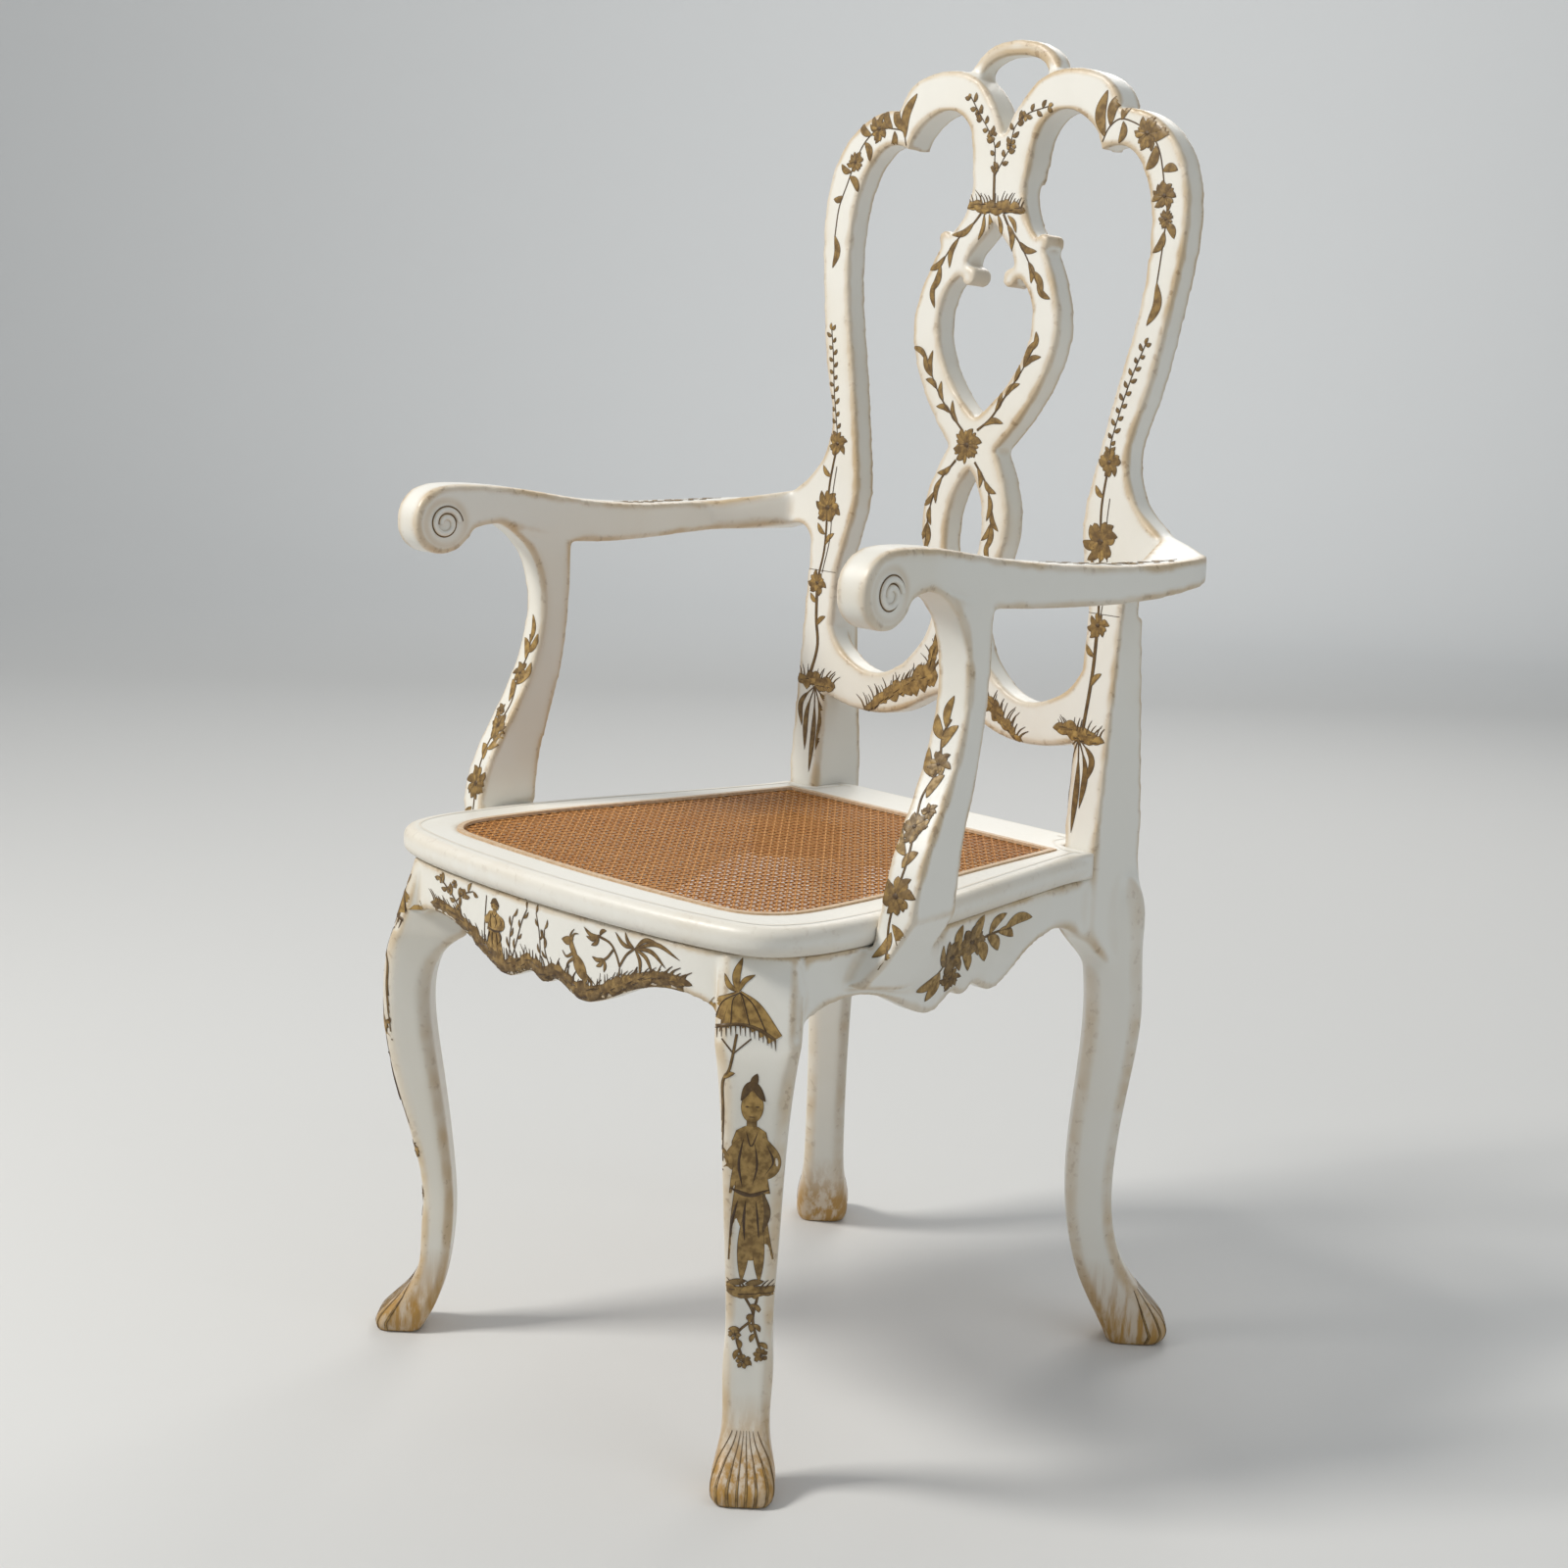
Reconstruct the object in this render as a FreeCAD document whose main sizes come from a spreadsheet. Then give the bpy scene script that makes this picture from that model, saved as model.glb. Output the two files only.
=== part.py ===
import FreeCAD
import Part
import math
import os

V = FreeCAD.Vector
doc = FreeCAD.newDocument("armchair")
sheet = doc.addObject("Spreadsheet::Sheet", "Sizes")

# Driving sizes, in millimetres and degrees. Y runs from the front (minus) to the back,
# "rise" is a height above the seat's top, "drop" a depth below the seat frame.
sizes = {
    "depth_shift": 13.0,
    "seat_height": 455.0,
    "frame_thickness": 24.0,
    "frame_round": 9.0,
    "seat_half": 250.0,
    "seat_widest_y": -150.0,
    "seat_front": 269.0,
    "seat_overhang": 6.0,
    "frame_rear_y": 222.0,
    "cane_half": 198.0,
    "cane_rear_half": 156.0,
    "cane_rear_y": 154.0,
    "cane_front": 217.0,
    "cane_thickness": 2.0,
    "cane_grid_pitch": 33.0,
    "cane_grid_hole": 19.0,
    "cane_grid_margin": 4.0,
    "rebate_depth": 4.0,
    "rebate_width": 10.0,
    "spline_width": 5.0,
    "spline_height": 2.6,
    "fit_gap": 0.3,
    "apron_thickness": 20.0,
    "apron_drop": 68.0,
    "apron_arch_drop": 38.0,
    "apron_end_drop": 56.0,
    "rear_apron_drop": 50.0,
    "leg_axis_shift": 4.5,
    "front_leg_reach": 296.0,
    "front_post_inner": 28.0,
    "front_post_outer": 37.0,
    "front_post_lean": 19.0,
    "front_post_width": 66.0,
    "front_post_drop": 66.0,
    "front_post_round": 7.0,
    "rear_leg_x": 175.0,
    "rear_leg_y": 235.0,
    "post_inner": 154.5,
    "post_width": 37.5,
    "post_front": 183.0,
    "post_rear": 254.0,
    "post_tuck": 22.0,
    "post_drop": 60.0,
    "back_rake": 4.57,
    "back_thickness": 24.0,
    "crest_thickness": 30.0,
    "splice_rise": 202.0,
    "stile_width": 37.0,
    "shoulder_half": 215.0,
    "shoulder_rise": 530.0,
    "waist_half": 179.5,
    "waist_rise": 340.0,
    "ear_half": 240.0,
    "ear_low_rise": 236.0,
    "ear_high_rise": 264.0,
    "bulge_half": 138.0,
    "bulge_rise": 275.0,
    "notch_half": 130.0,
    "notch_rise": 625.0,
    "cusp_half": 114.0,
    "cusp_rise": 590.0,
    "lobe_half": 72.0,
    "lobe_rise": 660.0,
    "lobe_band": 35.0,
    "vee_rise": 602.0,
    "neck_half": 31.5,
    "neck_rise": 563.0,
    "pear_half": 86.5,
    "pear_top_rise": 513.0,
    "pear_strand": 31.0,
    "pear_apex_rise": 531.0,
    "pear_low_rise": 357.0,
    "crossing_half": 28.0,
    "crossing_rise": 330.0,
    "loop_half": 52.0,
    "loop_rise": 262.0,
    "loop_strand": 31.0,
    "loop_top_rise": 311.0,
    "loop_low_rise": 200.0,
    "base_half": 28.0,
    "base_rise": 175.0,
    "dip_half": 92.0,
    "dip_rise": 116.5,
    "dip_band": 37.0,
    "rail_mid_rise": 110.0,
    "rail_end_low": 89.0,
    "rail_end_high": 152.0,
    "arch_half": 53.0,
    "arch_rise": 686.0,
    "arch_band": 13.0,
    "arch_seat_rise": 652.0,
    "arch_depth": 20.0,
    "arch_setback": 2.0,
    "arm_rise": 262.0,
    "arm_height": 31.0,
    "arm_width": 32.0,
    "arm_front_half": 274.0,
    "arm_waist_half": 257.0,
    "arm_bulge_half": 277.0,
    "scroll_y": -177.0,
    "scroll_rise": 254.0,
    "scroll_radius": 28.0,
    "support_x": 240.0,
    "support_y": -60.0,
    "support_angle": 8.5,
    "support_width": 32.0,
    "support_lap": 14.0,
    "support_toe": 10.0,
    "dowel_radius": 4.0,
    "dowel_length": 34.0,
    "dowel_gap": 0.1,
    "screw_radius": 2.2,
    "screw_head_radius": 4.4,
    "screw_head_height": 2.6,
    "block_depth": 26.0,
    "block_width": 96.0,
    "block_height": 40.0,
    "mitre_dowel_inset": 17.0,
}

# Stations of the legs from the floor up: height, offset of the middle along the
# diagonal, depth along the diagonal and width across it.
front_stations = {
    "toe": (0.0, 29.5, 38.0, 44.0),
    "pad": (9.0, 28.0, 45.0, 50.0),
    "heel": (31.0, 13.0, 36.0, 43.0),
    "shank": (70.0, -1.0, 26.0, 38.0),
    "ankle": (115.0, -3.5, 27.0, 38.0),
    "calf": (190.0, 7.0, 34.0, 41.0),
    "knee": (290.0, 25.0, 41.0, 50.0),
    "brow": (332.0, 23.0, 44.0, 57.0),
}
rear_stations = {
    "toe": (0.0, 37.5, 46.0, 44.0),
    "pad": (10.0, 39.0, 57.0, 50.0),
    "heel": (34.0, 26.0, 56.0, 46.0),
    "shank": (62.0, 8.0, 46.0, 40.0),
    "ankle": (105.0, -5.5, 41.0, 38.0),
    "calf": (160.0, -9.0, 42.0, 38.0),
    "shin": (240.0, -2.0, 46.0, 42.0),
    "knee": (310.0, 3.0, 50.0, 48.0),
}
for leg, stations in (("front", front_stations), ("rear", rear_stations)):
    for place, values in stations.items():
        for word, value in zip(("height", "offset", "deep", "wide"), values):
            sizes[f"{leg}_{place}_{word}"] = value

for row, (alias, value) in enumerate(sizes.items(), start=1):
    sheet.set(f"A{row}", alias)
    sheet.set(f"B{row}", str(value))
    sheet.setAlias(f"B{row}", alias)
doc.recompute()


def S(alias):
    return float(sheet.get(alias))


# Places that several pieces share.
frame_low = S("seat_height") - S("frame_thickness")
post_outer = S("post_inner") + S("post_width")
rake = FreeCAD.Rotation(V(1, 0, 0), -S("back_rake"))
chair_place = FreeCAD.Placement(V(0, -S("depth_shift"), 0), FreeCAD.Rotation())
back_place = chair_place * FreeCAD.Placement(V(0, S("post_front"), S("seat_height")), rake)
sides = (("left", -1), ("right", 1))
nodes = []


def spline(points):
    curve = Part.BSplineCurve()
    curve.interpolate(points)
    return curve


def add_outline(sketch, segments):
    # Each segment is a line when it has two points and a smooth curve when it has more.
    for segment in segments:
        if len(segment) == 2:
            sketch.addGeometry(Part.LineSegment(segment[0], segment[1]), False)
        else:
            sketch.addGeometry(spline(segment), False)


def closed(points):
    return [[a, b] for a, b in zip(points, points[1:] + points[:1])]


def mirrored(points):
    return [V(-p.x, p.y, 0) for p in reversed(points)]


def offset_line(points, distance):
    # Moves each point of an open line sideways, to the left of its direction.
    moved = []
    for i, point in enumerate(points):
        before = points[max(i - 1, 0)]
        after = points[min(i + 1, len(points) - 1)]
        along = (after - before).normalize()
        moved.append(point + V(-along.y, along.x, 0) * distance)
    return moved


def body_at(name, place):
    body = doc.addObject("PartDesign::Body", name)
    body.Placement = place
    return body


def sketch_on(body, role, name, segments, height=None):
    plane = [f for f in body.Origin.OriginFeatures if f.Role == role][0]
    sketch = body.newObject("Sketcher::SketchObject", name)
    sketch.AttachmentSupport = [(plane, "")]
    sketch.MapMode = "FlatFace"
    if height is not None:
        sketch.setExpression("AttachmentOffset.Base.z", height)
    add_outline(sketch, segments)
    return sketch


def pad(body, sketch, length, back=False):
    feature = body.newObject("PartDesign::Pad", sketch.Name + "_pad")
    feature.Profile = sketch
    feature.Reversed = back
    feature.setExpression("Length", length)
    return feature


def pocket_all(body, sketch):
    feature = body.newObject("PartDesign::Pocket", sketch.Name + "_pocket")
    feature.Profile = sketch
    feature.Type = "ThroughAll"
    feature.SideType = "Symmetric"
    return feature


def rod(name, place, middle, direction, radius, length):
    # A cylinder centred on a point; radius and length are sheet expressions.
    cylinder = doc.addObject("Part::Cylinder", name)
    cylinder.setExpression("Radius", radius)
    cylinder.setExpression("Height", length)
    doc.recompute([cylinder])
    turn = FreeCAD.Rotation(V(0, 0, 1), direction)
    start = middle - V(direction).normalize() * (cylinder.Height.Value / 2)
    cylinder.Placement = place * FreeCAD.Placement(start, turn)
    return cylinder


def compound(name, parts):
    group = doc.addObject("Part::Compound", name)
    group.Links = parts
    return group


def cut(name, base, tools):
    result = doc.addObject("Part::Cut", name)
    result.Base = base
    result.Tool = tools[0] if len(tools) == 1 else compound(name + "_tools", tools)
    return result


def common(name, parts):
    result = doc.addObject("Part::MultiCommon", name)
    result.Shapes = parts
    return result


def keep(name, thing):
    thing.Label = name
    nodes.append(thing)


def dowel_set(name, spots):
    # One group of like dowels, and the bores that they need: spots are (key, place, point, direction).
    dowels = []
    bores = {}
    for i, (key, place, point, direction) in enumerate(spots):
        dowels.append(rod(f"{name}_{i}", place, point, direction,
                          "Sizes.dowel_radius", "Sizes.dowel_length"))
        for owner in key:
            bore = rod(f"{name}_bore_{i}_{owner}", place, point, direction,
                       "Sizes.dowel_radius + Sizes.dowel_gap", "Sizes.dowel_length + 4")
            bores.setdefault(owner, []).append(bore)
    keep(name, compound(name, dowels))
    for owner, tools in bores.items():
        bores_of.setdefault(owner, []).extend(tools)


bores_of = {}

# Seat plan: the frame's outer edge on the right, from the post round to the middle of the front.
seat_step = S("seat_widest_y") - S("post_front")
corner_step = S("seat_front") + S("seat_widest_y")
flare = S("seat_half") - post_outer


def seat_edge(grow):
    side = [V(post_outer + flare * across, S("post_front") + seat_step * along, 0)
            for across, along in ((0, 0), (0.24, 0.22), (0.62, 0.52), (0.93, 0.805), (1, 1))]
    corner = [V(S("seat_half") * across, S("seat_widest_y") - corner_step * along, 0)
              for across, along in ((0.988, 0.42), (0.912, 0.723), (0.76, 0.86), (0.4, 0.965), (0, 1))]
    return offset_line(side + corner, grow) if grow else side + corner


def whole_edge(grow):
    half = seat_edge(grow)
    half[-1] = V(0, half[-1].y, 0)
    return half + mirrored(half)[1:]


def seat_region(grow, rear_y):
    # The closed plan inside an offset of the seat's edge, cut off straight at the back.
    edge = whole_edge(grow)
    first = V(edge[0].x, rear_y, 0)
    last = V(edge[-1].x, rear_y, 0)
    return [edge, [edge[-1], last], [last, first], [first, edge[0]]]


def cane_edge(grow):
    span = S("cane_half") - S("cane_rear_half")
    step = S("seat_widest_y") - S("cane_rear_y")
    side = [V(S("cane_rear_half") + span * across, S("cane_rear_y") + step * along, 0)
            for across, along in ((0, 0), (0.17, 0.145), (0.52, 0.474), (0.9, 0.786), (1, 1))]
    depth = S("cane_front") + S("seat_widest_y")
    corner = [V(S("cane_half") * across, S("seat_widest_y") - depth * along, 0)
              for across, along in ((0.98, 0.52), (0.9, 0.8), (0.75, 0.9), (0.4, 0.97), (0, 1))]
    half = offset_line(side + corner, grow) if grow else side + corner
    half[0] = V(half[0].x, S("cane_rear_y") + grow, 0)
    half[-1] = V(0, half[-1].y, 0)
    edge = half + mirrored(half)[1:]
    return [edge, [edge[-1], edge[0]]]


# Seat frame: one moulded ring, mitred at the front and butted between the posts behind.
ring = body_at("frame_ring", chair_place)
ring_sketch = sketch_on(ring, "XY_Plane", "ring_plan",
                        seat_region(0, S("frame_rear_y")) + cane_edge(0),
                        "Sizes.seat_height - Sizes.frame_thickness")
pad(ring, ring_sketch, "Sizes.frame_thickness")
rebate_sketch = sketch_on(ring, "XY_Plane", "rebate_plan", cane_edge(S("rebate_width") + S("fit_gap")),
                          "Sizes.seat_height")
rebate = ring.newObject("PartDesign::Pocket", "rebate")
rebate.Profile = rebate_sketch
rebate.setExpression("Length", "Sizes.rebate_depth")
doc.recompute()
rim = ring.newObject("PartDesign::Fillet", "ring_round")
outer_edges = []
for i, edge in enumerate(rebate.Shape.Edges, start=1):
    box = edge.BoundBox
    if box.XLength > S("seat_half") * 1.9 and box.YLength > S("seat_front"):
        outer_edges.append(f"Edge{i}")
rim.Base = (rebate, outer_edges)
rim.setExpression("Radius", "Sizes.frame_round")
doc.recompute()

far = S("seat_half") * 2
mitre = V(0, -2 * S("leg_axis_shift"), 0)
inner = S("post_inner")
wedges = {
    "front": [mitre, V(-far, mitre.y - far, 0), V(far, mitre.y - far, 0)],
    "rear": [V(-inner, 0, 0), V(inner, 0, 0), V(inner, S("frame_rear_y"), 0),
             V(-inner, S("frame_rear_y"), 0)],
}
for side, s in sides:
    wedges[side] = [mitre, V(s * far, mitre.y - far, 0), V(s * far, S("post_front"), 0),
                    V(s * inner, S("post_front"), 0), V(s * inner, mitre.y, 0)]


def reach_on_mitre(line):
    # How far out a plan line on the right crosses the front mitre, from where both mitres meet.
    off = [point.x + point.y - mitre.y for point in line]
    after = [i for i, value in enumerate(off) if value < 0][0]
    before = after - 1
    share = off[before] / (off[before] - off[after])
    return (line[before].x + (line[after].x - line[before].x) * share) * math.sqrt(2)


frame_parts = {}
for side, corners in wedges.items():
    wedge = body_at(f"frame_{side}_wedge", chair_place)
    pad(wedge, sketch_on(wedge, "XY_Plane", f"frame_{side}_wedge_plan", closed(corners)), "Sizes.seat_height")
    frame_parts[side] = common(f"frame_{side}", [ring, wedge])

# Cane panel and the bead that holds it down.
cane = body_at("cane", chair_place)
cane_sketch = sketch_on(cane, "XY_Plane", "cane_plan", cane_edge(S("rebate_width")),
                        "Sizes.seat_height - Sizes.rebate_depth")
pad(cane, cane_sketch, "Sizes.cane_thickness")
field_edge, field_back = cane_edge(-S("cane_grid_margin"))
field = Part.Face(Part.Wire([spline(field_edge).toShape(), Part.makeLine(field_back[0], field_back[1])]))
grid = []
pitch = S("cane_grid_pitch")
hole_half = S("cane_grid_hole") / 2
hole_corners = [V(a * hole_half, b * hole_half, 0) for a, b in ((-1, -1), (1, -1), (1, 1), (-1, 1))]
columns = int(S("cane_half") / pitch)
rows = int((S("cane_rear_y") + S("cane_front")) / pitch)
for column in range(-columns, columns):
    for row in range(rows):
        hole_at = V((column + 0.5) * pitch, S("cane_rear_y") - (row + 0.5) * pitch, 0)
        corners = [hole_at + corner for corner in hole_corners]
        if all(field.isInside(corner, S("fit_gap"), True) for corner in corners):
            grid += closed(corners)
pocket_all(cane, sketch_on(cane, "XY_Plane", "cane_grid", grid, "Sizes.seat_height - Sizes.rebate_depth"))
keep("cane_panel", cane)
bead = body_at("bead", chair_place)
bead_sketch = sketch_on(bead, "XY_Plane", "bead_plan",
                        cane_edge(S("rebate_width")) + cane_edge(S("rebate_width") - S("spline_width")),
                        "Sizes.seat_height - Sizes.rebate_depth + Sizes.cane_thickness")
pad(bead, bead_sketch, "Sizes.spline_height")
keep("cane_spline", bead)


# Legs: rounded rectangular sections lofted along an S in the diagonal plane.
def section(middle, deep, wide, r):
    a = deep / 2
    b = wide / 2
    k = r * (1 - math.sqrt(0.5))
    corners = ((1, 1), (-1, 1), (-1, -1), (1, -1))
    arcs = []
    for i, (p, q) in enumerate(corners):
        side_point = V(middle + p * a, q * (b - r), 0)
        end_point = V(middle + p * (a - r), q * b, 0)
        mid_point = V(middle + p * (a - k), q * (b - k), 0)
        order = (side_point, mid_point, end_point) if i % 2 == 0 else (end_point, mid_point, side_point)
        arcs.append(order)
    return arcs


def add_section(body, name, middle, deep, wide, height, r):
    sketch = sketch_on(body, "XY_Plane", name, [], height)
    arcs = section(middle, deep, wide, r)
    for i, (start, mid, end) in enumerate(arcs):
        sketch.addGeometry(Part.Arc(start, mid, end), False)
        sketch.addGeometry(Part.LineSegment(end, arcs[(i + 1) % 4][0]), False)
    return sketch


def loft_leg(body, leg, stations, top_sections):
    sections = []
    for place in stations:
        key = f"{leg}_{place}"
        deep = S(f"{key}_deep")
        wide = S(f"{key}_wide")
        sections.append(add_section(body, f"{body.Name}_{place}", S(f"{key}_offset"), deep, wide,
                                    f"Sizes.{key}_height", 0.27 * min(deep, wide)))
    sections.extend(top_sections)
    shape = body.newObject("PartDesign::AdditiveLoft", f"{body.Name}_loft")
    shape.Profile = sections[0]
    shape.Sections = sections[1:]
    return shape


axis_at = S("front_leg_reach") / math.sqrt(2)
post_mid = (S("front_post_outer") - S("front_post_inner")) / 2
post_deep = S("front_post_outer") + S("front_post_inner")
half_width = S("front_post_width") / 2
nip = S("front_post_round")


def post_plan(lean):
    outer = S("front_post_outer") - lean
    inner_end = -S("front_post_inner")
    return closed([V(inner_end, -half_width, 0), V(outer - nip, -half_width, 0),
                   V(outer, nip - half_width, 0), V(outer, half_width - nip, 0),
                   V(outer - nip, half_width, 0), V(inner_end, half_width, 0)])


front_places = {}
front_legs = {}
for side, s in sides:
    turn = FreeCAD.Rotation(V(0, 0, 1), -90 + s * 45)
    spot = V(s * (axis_at - S("leg_axis_shift")), -axis_at - S("leg_axis_shift"), 0)
    front_places[side] = chair_place * FreeCAD.Placement(spot, turn)
    leg = body_at(f"front_{side}_leg", front_places[side])
    post_foot = "Sizes.seat_height - Sizes.frame_thickness - Sizes.front_post_drop"
    top = add_section(leg, f"front_{side}_top", post_mid, post_deep, S("front_post_width"), post_foot, nip)
    loft_leg(leg, "front", front_stations, [top])
    foot_sketch = sketch_on(leg, "XY_Plane", f"front_{side}_post_foot", post_plan(0), post_foot)
    head_sketch = sketch_on(leg, "XY_Plane", f"front_{side}_post_head", post_plan(S("front_post_lean")),
                            "Sizes.seat_height - Sizes.frame_thickness")
    upright = leg.newObject("PartDesign::AdditiveLoft", f"front_{side}_upright")
    upright.Profile = foot_sketch
    upright.Sections = [head_sketch]
    upright.Ruled = True
    front_legs[side] = leg

rear_legs = {}
for side, s in sides:
    turn = FreeCAD.Rotation(V(0, 0, 1), 90 - s * 45)
    spot = V(s * S("rear_leg_x"), S("rear_leg_y"), 0)
    lower = body_at(f"rear_{side}_lower", chair_place * FreeCAD.Placement(spot, turn))
    brow = add_section(lower, f"rear_{side}_brow", -1, 53, 54,
                       "Sizes.seat_height - Sizes.frame_thickness - Sizes.post_drop", 14)
    crown = add_section(lower, f"rear_{side}_crown", -6, 34, 44,
                        "Sizes.seat_height - Sizes.frame_thickness", 8)
    loft_leg(lower, "rear", rear_stations, [brow, crown])
    post = body_at(f"rear_{side}_post", chair_place)
    low = frame_low - S("post_drop")
    splice_z = S("seat_height") + S("splice_rise") * math.cos(math.radians(S("back_rake")))
    splice_y = S("post_front") + S("splice_rise") * math.sin(math.radians(S("back_rake")))
    normal = rake.multVec(V(0, 1, 0))
    splice_back = V(0, splice_y, splice_z) + normal * (S("back_thickness") + 6)
    profile = [V(S("post_front"), low + 6, 0), V(S("post_front"), S("seat_height"), 0),
               V(splice_y, splice_z, 0), V(splice_back.y, splice_back.z, 0), V(S("post_rear"), low - 18, 0),
               V(S("post_rear") - S("post_tuck"), low - 18 - S("post_tuck"), 0)]
    post_sketch = sketch_on(post, "YZ_Plane", f"rear_{side}_post_side", closed(profile),
                            "Sizes.post_inner" if s > 0 else "-Sizes.post_inner")
    pad(post, post_sketch, "Sizes.post_width", back=s < 0)
    joined = doc.addObject("Part::Fuse", f"rear_{side}_joined")
    joined.Base = lower
    joined.Tool = post
    rear_legs[side] = joined


# Back: flat pieces in the raked plane. Outlines are (across, rise) on its front face.
def back_piece(name, segments, thickness="Sizes.back_thickness"):
    body = body_at(name, back_place)
    sketch = sketch_on(body, "XZ_Plane", name + "_outline", segments)
    pad(body, sketch, thickness, back=True)
    return body


def flip(s, points):
    return [V(s * p.x, p.y, 0) for p in points]


notch = V(S("notch_half"), S("notch_rise"), 0)
cusp = V(S("cusp_half"), S("cusp_rise"), 0)
shoulder = V(S("shoulder_half"), S("shoulder_rise"), 0)
waist = V(S("waist_half"), S("waist_rise"), 0)
ear_high = V(S("ear_half"), S("ear_high_rise"), 0)
ear_low = V(S("ear_half"), S("ear_low_rise"), 0)
bulge = V(S("bulge_half"), S("bulge_rise"), 0)
splice_outer = V(post_outer, S("splice_rise"), 0)
splice_inner = V(inner, S("splice_rise"), 0)
top_step = notch - shoulder
low_step = shoulder - waist
ear_step = waist - ear_high
stile_outer = [notch, notch + V(-top_step.x * 0.44, -top_step.y * 0.07, 0),
               shoulder + V(top_step.x * 0.16, top_step.y * 0.6, 0), shoulder,
               waist + V(low_step.x * 0.76, low_step.y * 0.61, 0),
               waist + V(low_step.x * 0.3, low_step.y * 0.21, 0), waist]
stile_outer += [ear_high + V(ear_step.x * 0.78, ear_step.y * 0.45, 0),
                ear_high + V(ear_step.x * 0.4, ear_step.y * 0.19, 0), ear_high]
under_step = splice_outer - ear_low
ear_under = [ear_low, ear_low + V(under_step.x * 0.38, under_step.y * -0.16, 0),
             ear_low + V(under_step.x * 0.69, under_step.y * -0.2, 0),
             ear_low + V(under_step.x * 0.9, under_step.y * 0.02, 0),
             ear_low + V(under_step.x * 0.99, under_step.y * 0.42, 0), splice_outer]
inner_top = V(S("shoulder_half") - S("stile_width"), S("shoulder_rise") - 18, 0)
inner_step = inner_top - bulge
cusp_step = cusp - inner_top
stile_inner = [splice_inner, splice_inner + (bulge - splice_inner) * 0.5 + V(-1, 0, 0), bulge,
               bulge + V(inner_step.x * 0.13, inner_step.y * 0.17, 0),
               bulge + V(inner_step.x * 0.48, inner_step.y * 0.46, 0),
               bulge + V(inner_step.x * 0.85, inner_step.y * 0.73, 0), inner_top,
               inner_top + V(cusp_step.x * 0.2, cusp_step.y * 0.73, 0),
               inner_top + V(cusp_step.x * 0.48, cusp_step.y * 1.0, 0), cusp]
stiles = {}
for side, s in sides:
    segments = [flip(s, stile_outer), flip(s, [ear_high, ear_low]), flip(s, ear_under),
                flip(s, [splice_outer, splice_inner]), flip(s, stile_inner), flip(s, [cusp, notch])]
    stiles[side] = back_piece(f"stile_{side}_board", segments)

lobe = V(S("lobe_half"), S("lobe_rise"), 0)
lobe_under = V(S("lobe_half") - 4, S("lobe_rise") - S("lobe_band"), 0)
vee = V(0, S("vee_rise"), 0)
neck = V(S("neck_half"), S("neck_rise"), 0)
out_step = notch - lobe
vee_step = vee - lobe
crest_outer = [notch, lobe + V(out_step.x * 0.76, out_step.y * 0.36, 0),
               lobe + V(out_step.x * 0.45, out_step.y * 0.1, 0), lobe,
               lobe + V(vee_step.x * 0.34, vee_step.y * 0.06, 0),
               lobe + V(vee_step.x * 0.6, vee_step.y * 0.26, 0),
               lobe + V(vee_step.x * 0.84, vee_step.y * 0.62, 0), vee]
cusp_out = cusp - lobe_under
neck_step = neck - lobe_under
crest_inner = [neck, lobe_under + V(neck_step.x * 0.9, neck_step.y * 0.62, 0),
               lobe_under + V(neck_step.x * 0.66, neck_step.y * 0.2, 0), lobe_under,
               lobe_under + V(cusp_out.x * 0.45, cusp_out.y * 0.16, 0),
               lobe_under + V(cusp_out.x * 0.85, cusp_out.y * 0.58, 0), cusp]
crest = back_piece("crest_board", [crest_outer, mirrored(crest_outer), mirrored([cusp, notch]),
                                   mirrored(crest_inner), mirrored([neck, V(0, neck.y, 0)]),
                                   [V(0, neck.y, 0), neck], crest_inner, [cusp, notch]],
                   "Sizes.crest_thickness")

ear = V(S("pear_half") * 0.66, S("pear_top_rise"), 0)
crossing = V(S("crossing_half"), S("crossing_rise"), 0)
pear_tall = S("pear_top_rise") - S("crossing_rise")
ear_rise = neck - ear
pear_neck = [neck, ear + V(ear_rise.x * 0.92, ear_rise.y * 0.62, 0),
             ear + V(ear_rise.x * 0.5, ear_rise.y * 0.2, 0), ear]
pear_outer = [ear, V(S("pear_half") * 0.9, crossing.y + pear_tall * 0.79, 0),
              V(S("pear_half"), crossing.y + pear_tall * 0.6, 0),
              V(S("pear_half") * 0.86, crossing.y + pear_tall * 0.34, 0), crossing]
base = V(S("base_half"), S("base_rise"), 0)
loop_wide = V(S("loop_half"), S("loop_rise"), 0)
loop_up = crossing - loop_wide
loop_down = base - loop_wide
loop_outer = [crossing, loop_wide + V(loop_up.x * 0.42, loop_up.y * 0.62, 0), loop_wide,
              loop_wide + V(loop_down.x * 0.35, loop_down.y * 0.4, 0),
              loop_wide + V(loop_down.x * 0.92, loop_down.y * 0.84, 0), base]
apex = V(0, S("pear_apex_rise"), 0)
pear_open = S("pear_half") - S("pear_strand")
inner_ear = V(pear_open * 0.44, S("pear_top_rise") - 30, 0)
pear_low = V(0, S("pear_low_rise"), 0)
pear_drop = inner_ear.y - pear_low.y
apex_side = [apex, V(pear_open * 0.2, (apex.y * 2 + inner_ear.y) / 3, 0),
             V(pear_open * 0.5, inner_ear.y + 7, 0), inner_ear]
pear_inner = [inner_ear, V(pear_open * 0.84, inner_ear.y - pear_drop * 0.1, 0),
              V(pear_open, inner_ear.y - pear_drop * 0.33, 0),
              V(pear_open * 0.86, inner_ear.y - pear_drop * 0.58, 0), pear_low]
loop_open = S("loop_half") - S("loop_strand")
loop_top = V(0, S("loop_top_rise"), 0)
loop_low = V(0, S("loop_low_rise"), 0)
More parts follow.
